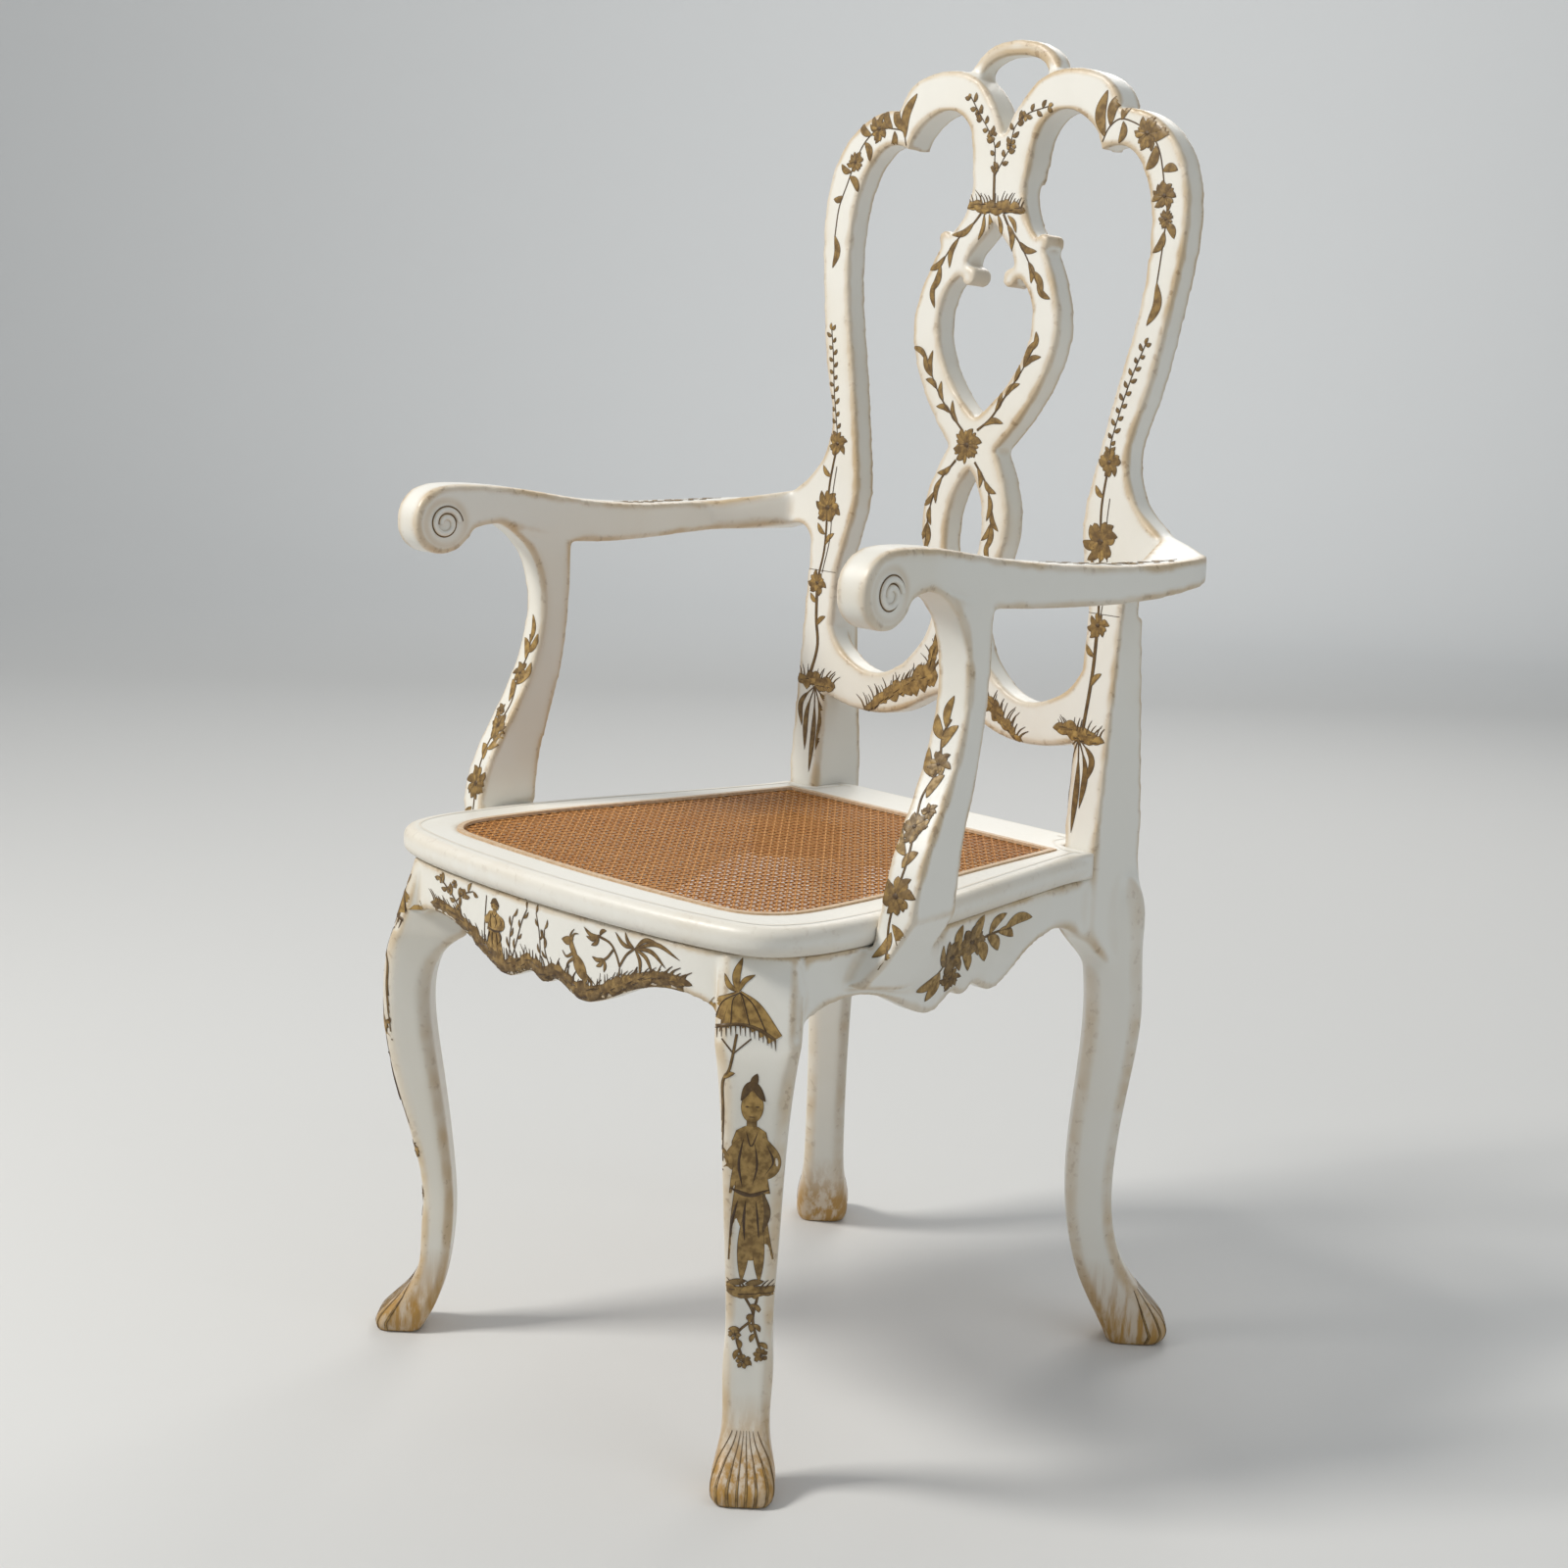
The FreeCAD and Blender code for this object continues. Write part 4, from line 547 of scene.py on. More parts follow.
class Pen:
    # draws in millimetres on one face of the chair
    def __init__(self, face, ground=skin, across=1, seed=3):
        self.face, self.ground, self.across = face, ground, across
        self.rng = random.Random(seed)
        self.points, self.faces, self.rims, self.tints = [], [], [], []
        self.count = 0

    def touch(self, u, v, lift):
        start, way = self.face(u * self.across, v)
        place, normal, _, _ = self.ground.ray_cast(start, way, 2 * brush["reach"])
        if place is None or -normal.dot(way) < brush["facing"]:
            return None
        return place + normal * lift

    def stroke(self, path, width, shape="line", tint=0.8, crown=None, rim=None):
        crown = brush["crown"] if crown is None else crown
        rim = brush["rim"] if rim is None else rim
        line = smoothPath(path, brush["pitch"])
        ways = np.gradient(line, axis=0)
        ways /= np.maximum(np.linalg.norm(ways, axis=1), 1e-9)[:, None]
        self.count += 1
        lift = brush["lift"] + brush["layer"] * (self.count % brush["layers"])
        rows = []
        for i, ((u, v), (a, b)) in enumerate(zip(line, ways)):
            half = width / 2 * profiles[shape](i / (len(line) - 1))
            inner = max(brush["core"], 1 - rim / max(half, 0.01))
            fill = min(1.0, half / (brush["full"] * rim))
            row = []
            for j, value in ((-1, 0), (-inner, fill), (0, fill), (inner, fill), (1, 0)):
                point = self.touch(u - b * half * j, v + a * half * j, lift + crown * (1 - j * j))
                if point is not None:
                    row.append(len(self.points))
                    self.points.append(point)
                    self.rims.append(float(value))
                    self.tints.append(tint)
                else:
                    row.append(None)
            rows.append(row)
        for low, high in zip(rows, rows[1:]):
            for k in range(4):
                quad = (low[k], low[k + 1], high[k + 1], high[k])
                if None not in quad:
                    corners = [self.points[q] for q in quad]
                    longest = max((a - b).length for a in corners for b in corners)
                    if longest < brush["jump"] + width / 1000:
                        self.faces.append(quad)

    def leaf(self, base, tip, width, bend=0.12, tint=0.85):
        (a, b), (c, d) = base, tip
        middle = ((a + c) / 2 - (d - b) * bend, (b + d) / 2 + (c - a) * bend)
        self.stroke([base, middle, tip], width, "leaf", tint)

    def leaves(self, rows, width, bend=0.12, tint=0.85):
        # rows of base and tip, some with a width of their own
        for a, b, c, d, *own in rows:
            self.leaf((a, b), (c, d), own[0] * width if own else width, bend, tint)

    def flower(self, centre, radius, petals=9, tint=0.8):
        turn, among, stray = self.rng.random(), self.rng.uniform, petalled["stray"]
        for ring, fewer in petalled["rings"]:
            if ring < 1 and radius < petalled["double"]:
                continue
            count = petals - fewer
            for k in range(count):
                angle = 2 * math.pi * (k + turn + among(-stray, stray)) / count
                reach = radius * ring * among(*petalled["reach"])
                petal = [away(centre, angle, radius * petalled["root"]), away(centre, angle, reach)]
                width = radius * ring * petalled["petal"] / count
                self.stroke(petal, width, "petal", tint * among(*petalled["tints"]))
        heart = radius * petalled["heart"]
        path = [away(centre, math.pi, heart), away(centre, 0, heart)]
        self.stroke(path, 2 * heart, "oval", petalled["heartTint"], 0.0006)

    def bloom(self, centre, radius, petals=9, far=1.35):
        # a ragged flower with leaf tips showing round it
        tips, stray = petalled["tips"], petalled["tipStray"]
        for k in range(tips):
            angle = 2 * math.pi * (k + self.rng.uniform(-stray, stray)) / tips
            reach = radius * far * self.rng.uniform(*petalled["tipReach"])
            self.leaf(centre, away(centre, angle, reach), radius * petalled["tipWidth"], 0.15, 0.5)
        self.flower(centre, radius, petals)

    def flowers(self, rows, petals):
        for u, v, radius in rows:
            self.flower((u, v), radius, petals)

    def blooms(self, rows, petals, far):
        for u, v, radius in rows:
            self.bloom((u, v), radius, petals, far)

    def stem(self, path, width=1.3, tint=0.35):
        self.stroke(path, width, "line", tint)

    def spray(self, path, leaf, every, width, tint=0.8, spreadAngle=38, stemWidth=1.2):
        self.stem(path, stemWidth)
        line = smoothPath(path, every)
        side = 1
        for (u, v), (a, b) in zip(line[1:], np.diff(line, axis=0)):
            heading = math.atan2(b, a) + side * math.radians(spreadAngle)
            size = leaf * self.rng.uniform(0.8, 1.15)
            self.leaf((u, v), away((u, v), heading, size), width, 0.12 * side, tint)
            side = -side

    def willow(self, path, count, leaf, width, tint=0.65):
        # a thin twig with a few long leaves, the last one carrying on from its tip
        self.stroke(path, twig["width"], "taper", twig["tint"])
        line = smoothPath(path, 1.0)
        for k in range(count):
            i = int((k + 0.5) / count * (len(line) - 2))
            side = 1 if k % 2 else -1
            heading = math.atan2(*(line[i + 1] - line[i])[::-1])
            heading += side * math.radians(self.rng.uniform(*twig["spread"]))
            size = leaf * self.rng.uniform(*twig["sizes"])
            self.leaf(tuple(line[i]), away(line[i], heading, size), width, -twig["bend"] * side, tint)
        base = line[int(len(line) * twig["tipFrom"])]
        tip = line[-1] + (line[-1] - line[-6]) * twig["tipReach"]
        self.leaf(tuple(base), tuple(tip), width * twig["tipWidth"], twig["tipBend"], tint)

    def buds(self, path, every, size):
        self.spray(path, size, every, size * 0.55, 0.5, 52, 1.0)
        u, v = path[-1]
        self.leaf(path[-1], (u + (u - path[-2][0]) * 0.25, v + (v - path[-2][1]) * 0.25), size * 0.5)

    def bank(self, path, depths, blade, tones=(0.5, 1.0)):
        # ragged turf: blades, overlapping sods and dark breaks
        line = smoothPath(path, turf["pitch"])
        deep = np.interp(np.linspace(0, 1, len(line)), np.linspace(0, 1, len(depths)), depths)
        ways = np.gradient(line, axis=0)
        ways /= np.linalg.norm(ways, axis=1)[:, None]
        among = self.rng.uniform
        for k, ((u, v), d) in enumerate(zip(line, deep)):
            lean = among(-turf["lean"], turf["lean"]) + turf["fan"] * (2 * k / (len(line) - 1) - 1)
            tall = d * 0.4 + blade * among(*turf["tall"])
            path = [(u, v), (u + lean * tall * 0.4, v + tall * 0.6), (u + lean * tall, v + tall)]
            self.stroke(path, among(*turf["blade"]), "taper", among(*turf["bladeTint"]))
        for (u, v), d, (a, b) in zip(line, deep, ways):
            reach, shift = among(*turf["sod"]), among(-turf["sodShift"], turf["sodShift"]) * d
            u0, v0, u1, v1 = u - a * reach, v - b * reach + shift, u + a * reach, v + b * reach + shift
            path = [(u0, v0 - among(0, 1.5)), (u, v + shift + 0.8), (u1, v1)]
            self.stroke(path, d * among(*turf["sodDepth"]), "leaf", among(*tones), 0.0004)
        for (u, v), d, (a, b) in list(zip(line, deep, ways))[1:-1:2]:
            reach, shift = among(*turf["gap"]), among(*turf["gapShift"]) * d
            path = [(u - a * reach, v - b * reach + shift), (u + a * reach, v + b * reach + shift + 0.8)]
            self.stroke(path, turf["gapWidth"], "leaf", turf["gapTint"], 0.0007)

    def island(self, centre, half, height=7, blade=8):
        u, v = centre
        path = [(u - half + 5, v + 1), (u, v + 0.5), (u + half - 5, v - 1)]
        self.bank(path, (height * 0.6, height, height, height * 0.6), blade)

    def finish(self, name, material=None, tones=None):
        rims = np.array(self.rims)
        tones = tones(rims) if tones else {"rim": rims, "tint": np.array(self.tints)}
        points = [tuple(p) for p in self.points]
        piece = newPiece(name, points, self.faces, material or giltBrushwork, tones)
        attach(piece, "root")
        print("brushed", name, len(self.faces), "faces")


diagonal = math.sqrt(0.5)
sides = (("Left", -1), ("Right", 1))
backFace = planeFace(backPlane["origin"], (1, 0, 0), backUp, backInto)
frontFace = planeFace((0, -0.26, 0), (1, 0, 0), (0, 0, 1), (0, 1, 0))
supportFace = planeFace((0, -0.13, 0), (1, 0, 0), (0, 0, 1), (0, 1, 0))
rightFace = planeFace((0.25, 0, 0), (0, 1, 0), (0, 0, 1), (-1, 0, 0))
leftFace = planeFace((-0.25, 0, 0), (0, 1, 0), (0, 0, 1), (1, 0, 0))
armFace = planeFace((0, 0, 0.73), (1, 0, 0), (0, 1, 0), (0, 0, -1))
topFace = planeFace((0, 0, 0.46), (1, 0, 0), (0, 1, 0), (0, 0, -1))


def paintOn(name, face, paintPart, seed, across=1):
    pen = Pen(face, across=across, seed=seed)
    paintPart(pen)
    pen.finish(name)


# vines, buds and islands on the back, as (across, rise)
def paintShoulders(pen):
    pen.stem([(-117, 594), (-122, 606), (-136, 609), (-153, 609), (-169, 598), (-180, 580), (-188, 559),
              (-196, 537), (-198, 510)])
    pen.stem([(115, 597), (122, 610), (136, 616), (163, 606), (178, 590), (188, 560), (193, 543),
              (193, 516), (191, 480)])
    pen.leaves(((-119, 600, -109, 640, 8), (-121, 606, -133, 632, 7), (-136, 609, -146, 628, 6),
                (-133, 607, -137, 588, 6), (-162, 603, -178, 616, 6), (-170, 597, -162, 580, 6),
                (-184, 570, -198, 577, 5), (-186, 566, -174, 552, 6), (-192, 548, -204, 545, 5),
                (-198, 512, -197, 482, 6), (117, 601, 115, 640, 9), (122, 610, 133, 638, 8),
                (134, 615, 147, 632, 7), (136, 614, 133, 596, 6), (172, 597, 190, 606, 7),
                (174, 594, 166, 574, 8), (184, 573, 200, 574, 6), (186, 566, 176, 548, 7),
                (193, 530, 204, 518, 6), (193, 524, 183, 506, 6), (191, 482, 185, 446, 7)),
               1.25, 0.16, 0.65)
    pen.blooms(((-153, 609, 11), (-180, 579, 9), (163, 604, 12), (189, 553, 11), (193, 534, 7)), 11, 1.2)


def paintCrest(pen):
    pen.stem([(-2, 542), (-4, 562), (-6, 580)], 2.8)
    pen.buds([(-6, 580), (-8, 594), (-17, 607), (-31, 623), (-42, 636)], 6, 8)
    pen.buds([(-4, 568), (4, 582), (10, 592), (14, 610), (27, 621), (50, 627)], 6, 8)
    pen.flowers(((-13, 603, 6), (-31, 622, 5), (11, 594, 6), (22, 618, 6), (-5, 574, 5)), 6)
    pen.island((-1, 540), 36, 14, 9)
    pen.willow([(-16, 535), (-25, 525), (-41, 512), (-56, 493), (-67, 466)], 4, 25, 6)
    pen.willow([(11, 535), (19, 524), (30, 514), (42, 500), (65, 468)], 4, 25, 6)
    pen.leaves(((-12, 535, -17, 512), (-6, 535, -6, 514), (4, 535, 9, 512), (16, 534, 28, 519)), 4.5)


def paintSplat(pen):
    for path in ([(-12, 345), (-26, 357), (-43, 373), (-57, 393), (-67, 410)],
                 [(6, 346), (21, 358), (38, 382), (52, 402), (66, 428)],
                 [(-16, 318), (-35, 295), (-43, 266), (-43, 236)],
                 [(7, 318), (23, 300), (33, 276), (32, 244)]):
        pen.willow(path, 6, 22, 5.5)
    pen.bloom((-5, 332), 14.5, 15, 1.15)


def paintStiles(pen):
    pen.buds([(-168, 324), (-171, 336), (-179, 369), (-184, 398), (-190, 425)], 5.5, 7)
    pen.stem([(-168, 321), (-173, 286), (-173, 261), (-172, 223), (-177, 190), (-174, 157), (-169, 131),
              (-176, 104)], 2.4, 0.3)
    pen.stem([(-166, 300), (-168, 270), (-166, 235), (-172, 200)], 0.9)
    pen.buds([(161, 334), (161, 349), (168, 379), (176, 405), (186, 430)], 5.5, 7)
    pen.stem([(161, 330), (158, 293), (161, 263), (165, 225), (168, 192), (168, 150), (164, 104)],
             2.4, 0.3)
    pen.stem([(166, 300), (166, 275), (172, 235), (170, 200)], 0.9)
    pen.stem([(-177, 188), (-174, 157), (-169, 131), (-176, 100)], 3.6, 0.3)
    pen.stem([(168, 190), (168, 150), (164, 100)], 3.6, 0.3)
    pen.blooms(((-168, 321, 10), (-173, 261, 14), (-177, 190, 10), (161, 330, 11), (161, 263, 16),
                (168, 192, 10)), 9, 1.2)
    pen.leaves(((-172, 290, -184, 300), (-173, 236, -184, 246), (-172, 226, -161, 238),
                (-175, 172, -185, 180), (-173, 150, -162, 160), (159, 300, 149, 310),
                (163, 238, 153, 247), (166, 222, 177, 232), (168, 165, 158, 175), (168, 140, 178, 152)),
               5)
    for x in (-167, 161):
        pen.island((x, 97), 27, 18, 8)
        for dx, drop in ((-15, 40), (-7, 62), (3, 82), (10, 60), (15, 36)):
            blade = [(x, 94), (x + dx * 1.1, 94 - drop * 0.45), (x + dx * 0.85, 94 - drop)]
            pen.stroke(blade, 6.5, "willow", 0.45)


def paintRail(pen):
    pen.bank([(-98, 80), (-74, 96), (-46, 112), (-18, 122)], (7, 15, 22, 26), 11)
    pen.bank([(-22, 126), (-20, 140), (-17, 154), (-16, 168)], (18, 15, 11, 6), 7)
    pen.bank([(22, 122), (46, 112), (70, 97), (92, 82)], (20, 19, 14, 6), 11)


def paintBack(pen):
    for paintPart in (paintShoulders, paintCrest, paintSplat, paintStiles, paintRail):
        paintPart(pen)


paintOn("giltBack", backFace, paintBack, 5)


# vines down the arm supports, as (across, height)
supportMiddle = {"height": (404, 445, 500, 560, 620, 670), "across": (267, 265, 262, 259, 257, 258)}


def paintSupport(pen):
    def on(z, shift=0):
        return float(np.interp(z, supportMiddle["height"], supportMiddle["across"])) + shift, z

    pen.stem([on(604, 3), on(590, -2), on(567, 2), on(545, -4), on(522), on(500, 3), on(472),
              on(448, -3), on(424, 1)], 2.0)
    pen.leaf(on(596), on(622, 3), 7)
    for z, rise, shift in ((588, 14, -9), (582, 14, 9), (560, 16, -10), (545, 14, 8), (512, 14, 9),
                           (503, 14, -10), (494, 10, 9), (452, -16, 9), (446, -16, -10), (430, -14, 9),
                           (424, -16, -4)):
        pen.leaf(on(z), on(z + rise * 1.3, shift * 1.15), 8, 0.14, 0.95)
    for z, radius, shift in ((570, 9, 1), (524, 10, -1), (536, 6, 7), (473, 13, 0)):
        pen.bloom(on(z, shift), radius, 9, 1.2)


# leaf sprigs along the tops of the arms, as (across, depth)
def paintArm(pen):
    pen.spray([(259, 2), (263, 24), (268, 46), (274, 66), (277, 88)], 13, 8, 4.5, 0.8, 24)
    pen.spray([(277, 150), (279, 130), (278, 112), (277, 96)], 12, 8, 4.5, 0.8, 24)
    pen.flower((277, 92), 6)


for side, sign in sides:
    paintOn("giltSupport" + side, supportFace, paintSupport, 8, sign)
for side, sign in sides:
    paintOn("giltArm" + side, armFace, paintArm, 15, sign)


# flowering sprays on the side aprons, as (depth, height), drawn out along the depth
sideStretch = 1.5


def paintSideApron(pen):
    pen.stem([(-48, 392), (-36, 402), (-24, 406), (-6, 409), (13, 411), (31, 410)], 2.2)
    pen.leaves(((-45, 395, -62, 384, 9), (-44, 397, -54, 374, 9), (-38, 401, -44, 418, 8),
                (-22, 406, -20, 427, 8), (-6, 409, 4, 390, 10), (-4, 410, 2, 429, 9),
                (6, 410, 18, 395, 9), (8, 411, 26, 424, 8), (17, 411, 34, 402, 8),
                (24, 411, 54, 413, 9), (-20, 406, -13, 387, 8)), 1, 0.14, 1.0)
    pen.blooms(((-30, 403, 12), (-10, 410, 12), (-31, 386, 8)), 8, 1.25)


for side, face in (("Left", leftFace), ("Right", rightFace)):
    paintOn("giltSideApron" + side, face, paintSideApron, 12, sideStretch)


# small robed figure, standing at the given place
def paintFigure(pen, at, scale, girth=1.0):
    wide = scale * girth

    def on(u, v):
        return at[0] + u * wide, at[1] + v * scale

    def mark(path, width, shape, tint, crown=None):
        pen.stroke([on(*p) for p in path], width * wide, shape, tint, crown)

    for hip, foot in ((-4, -5), (8, 9)):
        mark([(hip, 62), (hip, 32), (foot, 2)], 9, "leaf", 0.85)
        mark([(foot + 4, 3), (foot - 11, 0)], 6, "leaf", 0.5)
    mark([(0, 92), (0, 58), (2, 22)], 33, "skirt", 0.9)
    mark([(0, 138), (-1, 108), (0, 82)], 29, "robe", 0.95, 0.0004)
    mark([(0, 134), (0, 146)], 8, "line", 0.7, 0.0004)
    mark([(-8, 129), (-17, 106), (-21, 118)], 11, "leaf", 0.85, 0.0006)
    mark([(9, 130), (16, 106), (3, 94)], 14, "leaf", 0.9, 0.0006)
    mark([(-15, 86), (0, 81), (15, 86)], 4.5, "leaf", 0.12, 0.0008)
    mark([(10, 84), (14, 66), (11, 48)], 5, "leaf", 0.35, 0.0007)
    for fold in ([(-6, 128), (-9, 108), (-6, 88)], [(3, 124), (5, 106), (2, 90)],
                 [(-9, 76), (-13, 58), (-14, 42)], [(-3, 76), (-4, 58), (-3, 40)],
                 [(5, 76), (7, 56), (8, 42)], [(12, 124), (17, 110), (11, 98)],
                 [(-4, 134), (0, 122), (5, 134)]):
        mark(fold, 2.2, "leaf", 0.05, 0.0007)
    mark([(0, 141), (0, 166)], 17, "oval", 1.0, 0.0005)
    mark([(-9, 158), (-1, 169), (10, 158)], 8, "leaf", 0.2, 0.0007)
    pen.leaf(on(1, 166), on(3, 179), 6 * wide, 0.1, 0.25)
    for u in (-4, 4):
        mark([(u - 1.6, 153.5), (u + 1.6, 153.5)], 1.3, "leaf", 0.0, 0.0008)
    mark([(-2.5, 145.5), (2.5, 145.5)], 1.2, "leaf", 0.0, 0.0008)


# landscape along the front apron, as (across, height)
apronScene = {"from": -158, "to": 166, "step": 6, "lowest": 352, "highest": 425, "ground": 12}


def apronFoot(pen):
    line = []
    for u in range(apronScene["from"], apronScene["to"], apronScene["step"]):
        v = apronScene["lowest"]
        while pen.touch(u, v, 0) is None and v < apronScene["highest"]:
            v += 1
        line.append((u, v + apronScene["ground"] * 0.5))
    return line


def paintFrontApron(pen):
    foot = apronFoot(pen)
    pen.stem(foot, apronScene["ground"], 0.6)
    pen.bank(foot, (8, 12, 20, 17, 13, 18, 14, 8), 8, (0.25, 0.75))
    pen.spray([(-112, 392), (-118, 404), (-130, 414), (-150, 425)], 10, 7, 4, 0.6, 40, 1.6)
    pen.spray([(-124, 409), (-112, 418), (-98, 423)], 9, 6, 4, 0.6, 40)
    pen.flowers(((-133, 417, 5), (-147, 424, 5), (-112, 418, 5), (-120, 404, 4), (-126, 424, 4)), 6)
    paintFigure(pen, (-66, 374), 0.28, 2.3)
    pen.stem([(-80, 380), (-80, 400), (-78, 424)], 1.2)
    for path in ([(-41, 378), (-35, 393), (-28, 412), (-21, 424)], [(-44, 378), (-44, 396), (-40, 414)],
                 [(-3, 380), (-3, 395), (-5, 410), (-9, 423)], [(10, 382), (3, 396), (2, 412)]):
        pen.spray(path, 9, 9, 2.6, 0.5, 24)
    pen.stroke([(55, 380), (48, 388), (38, 401)], 12, "leaf", 0.7)
    pen.stroke([(43, 396), (37, 404), (34, 412)], 6, "oval", 0.7)
    pen.leaf((38, 412), (24, 409), 7, 0.1, 0.6)
    for width, *path in ((2.6, (36, 412), (39, 416), (44, 417)), (2.6, (34, 413), (36, 417), (39, 420)),
                         (3.6, (38, 400), (30, 396), (25, 400)), (3.6, (40, 397), (32, 391), (30, 386)),
                         (5.0, (50, 387), (53, 377), (51, 366)), (4.6, (50, 387), (60, 380), (57, 368)),
                         (2.4, (52, 383), (59, 383), (65, 379))):
        pen.stroke(path, width, "taper", 0.5)
    pen.stroke([(89, 374), (91, 390), (92, 402)], 4.5, "taper", 0.4)
    for path in ([(92, 400), (87, 410), (80, 417), (66, 420)], [(92, 401), (99, 411), (108, 418)],
                 [(84, 412), (78, 405), (72, 401)]):
        pen.stem(path, 2.2)
    for root, *tips in (((68, 420), (50, 424), (53, 417), (59, 411), (76, 426)),
                        ((73, 403), (60, 402), (65, 395), (74, 392)),
                        ((108, 418), (86, 427), (97, 429), (114, 398), (128, 402), (142, 409),
                         (156, 418), (134, 427))):
        for tip in tips:
            pen.leaf(root, tip, 3.6, 0.16, 0.5)


paintOn("giltFrontApron", frontFace, paintFrontApron, 21)


# figure under a parasol on each front leg, as (along the face, height)
frontLegs = {"axis": (0.2048, -0.2268), "top": (-15, 404),
             "rim": [(-41, 373), (-28, 379), (-14, 381), (0, 378), (13, 371)]}


def paintLeg(pen):
    pen.leaf((-16, 402), (-14, 429), 6)
    for tip in ((-27, 417), (-4, 417)):
        pen.leaf((-16, 404), tip, 4, 0.15)
    a, b = frontLegs["top"]
    rim = smoothPath(frontLegs["rim"], 6.5)
    ribs = [[(a, b), ((a + u) / 2 * 1.12, (b + v) / 2 + 6), (u, v)] for u, v in rim]
    for rib in ribs:
        pen.stroke(rib, 12, "fan", 0.95)
    for rib in ribs[1:-1:2]:
        pen.stroke(rib, 1.1, "line", 0.1, 0.0006)
    pen.stroke(frontLegs["rim"], 2.6, "line", 0.25, 0.0006)
    for u, v in smoothPath(frontLegs["rim"], 3.6):
        pen.stroke([(u, v), (u + 0.5, v - 8)], 1.5, "taper", 0.5)
    for tip in ((-27, 370), (-5, 371)):
        pen.stem([(-18, 360), tip], 1.2)
    pen.stem([(-16, 374), (-20, 350), (-25, 338), (-24, 316), (-24, 290), (-23, 252)], 2.2, 0.4)
    pen.leaf((-25, 341), (-16, 346), 4)
    paintFigure(pen, (-2, 171), 0.98)
    pen.island((2, 164), 24, 15, 5)
    pen.spray([(-4, 160), (3, 142), (-9, 126), (-4, 106)], 9, 8, 4, 0.8, 38, 2.2)
    pen.spray([(6, 160), (3, 138), (10, 112)], 8, 8, 4, 0.8, 38, 2.2)
    pen.flowers(((-4, 105, 6), (10, 110, 6), (-11, 126, 5)), 7)


for side, sign in sides:
    x, y = frontLegs["axis"]
    across, into = (diagonal, sign * diagonal, 0), (-sign * diagonal, diagonal, 0)
    face = planeFace((sign * x, y, 0), across, (0, 0, 1), into)
    paintOn("giltLeg" + side, face, paintLeg, 31, sign)


# toes on the feet: dark lines fanning down to the floor, laid on and not cut
footToes = {"front": {"axis": (0.2048, 0.2268), "way": -1,
                      "middle": ((0, 29.5), (9, 28), (31, 13), (70, -1), (90, -2))},
            "rear": {"axis": (0.1750, 0.2220), "way": 1,
                     "middle": ((0, 37.5), (10, 39), (34, 26), (62, 8), (90, 0))},
            "fan": (-66, -46, -27, -9, 9, 27, 46, 66), "perUnit": 2.2, "outside": 0.08, "width": 2.8,
            "groove": ((1, 1.5), (0.96, 14), (0.84, 32), (0.64, 50))}


def footFace(end, sign):
    spec = footToes[end]
    heights, offsets = zip(*spec["middle"])
    out = Vector((sign * diagonal, spec["way"] * diagonal, 0))
    axis = Vector((sign * spec["axis"][0], spec["way"] * spec["axis"][1], 0))

    def spot(u, v):
        middle = axis + out * (float(np.interp(v, heights, offsets)) / 1000)
        turn = Matrix.Rotation(math.radians(u * footToes["perUnit"]), 3, "Z") @ out
        start = middle + turn * footToes["outside"] + Vector((0, 0, v / 1000))
        return start, -turn
    return spot


def paintToes(pen):
    for angle in footToes["fan"]:
        foot = angle / footToes["perUnit"]
        pen.stroke([(foot * share, v) for share, v in footToes["groove"]], footToes["width"], "taper")


for end in ("front", "rear"):
    for side, sign in sides:
        paintOn("toes" + end.capitalize() + side, footFace(end, sign), paintToes, 41)


# the scrolls: a low ridge winding inward, with a fine dark line beside it as painted shade of the carved
# groove
def hollowOnly(values):
    return {"arris": values * 0, "hollow": values, "bloom": values * 0, "gilding": values * 0}


def scrollPath(beyond=0.0):
    y, z = armScroll["middle"]
    path = []
    for share in np.linspace(0, 1, armScroll["points"]):
        turn = math.radians(armScroll["start"] + 360 * armScroll["turns"] * share)
        inward = (armScroll["inner"] - armScroll["outer"]) * share ** armScroll["winding"]
        radius = armScroll["outer"] + inward + beyond
        path.append(away((y, z), turn, radius))
    return path


for side, sign in sides:
    for cheek, way in (("Outer", 1), ("Inner", -1)):
        x = sign * (armScroll["across"] + way * armScroll["cheek"])
        face = planeFace((x, 0, 0), (0, 1, 0), (0, 0, 1), (-sign * way, 0, 0))
        pen = Pen(face)
        pen.stroke(scrollPath(), armScroll["width"], "line", 1, armScroll["height"], armScroll["rim"])
        pen.finish("scroll" + side + cheek, paint, lambda rims: hollowOnly((1 - rims) * armScroll["tone"]))
        # a fine dark line beside the ridge: painted shade of the groove
        pen = Pen(face)
        pen.stem(scrollPath(armScroll["width"] / 2 + armScroll["lineGap"]), armScroll["line"], 0.5)
        pen.finish("scrollShadeLine" + side + cheek)


# hairline joints and the quirk round the seat frame, both drawn as thin lines; the quirk is not cut, and
# its line is glaze tone standing in for the groove's glaze and its shade
quirk = {"inset": 13.5, "width": 2.6, "middle": (0, -0.03, 0.443), "outside": 0.5, "reach": 0.45,
         "angles": (-62, 243, 3), "crown": 0.0001, "rim": 1.2, "tone": 0.6}
splice = {"from": 153, "to": 193, "rise": 202, "width": 0.5}
pen = Pen(backFace)
for side in (-1, 1):
    ends = [(side * splice[key], splice["rise"]) for key in ("from", "to")]
    pen.stroke(ends, splice["width"], "line", 0.3)
pen.finish("jointLines")


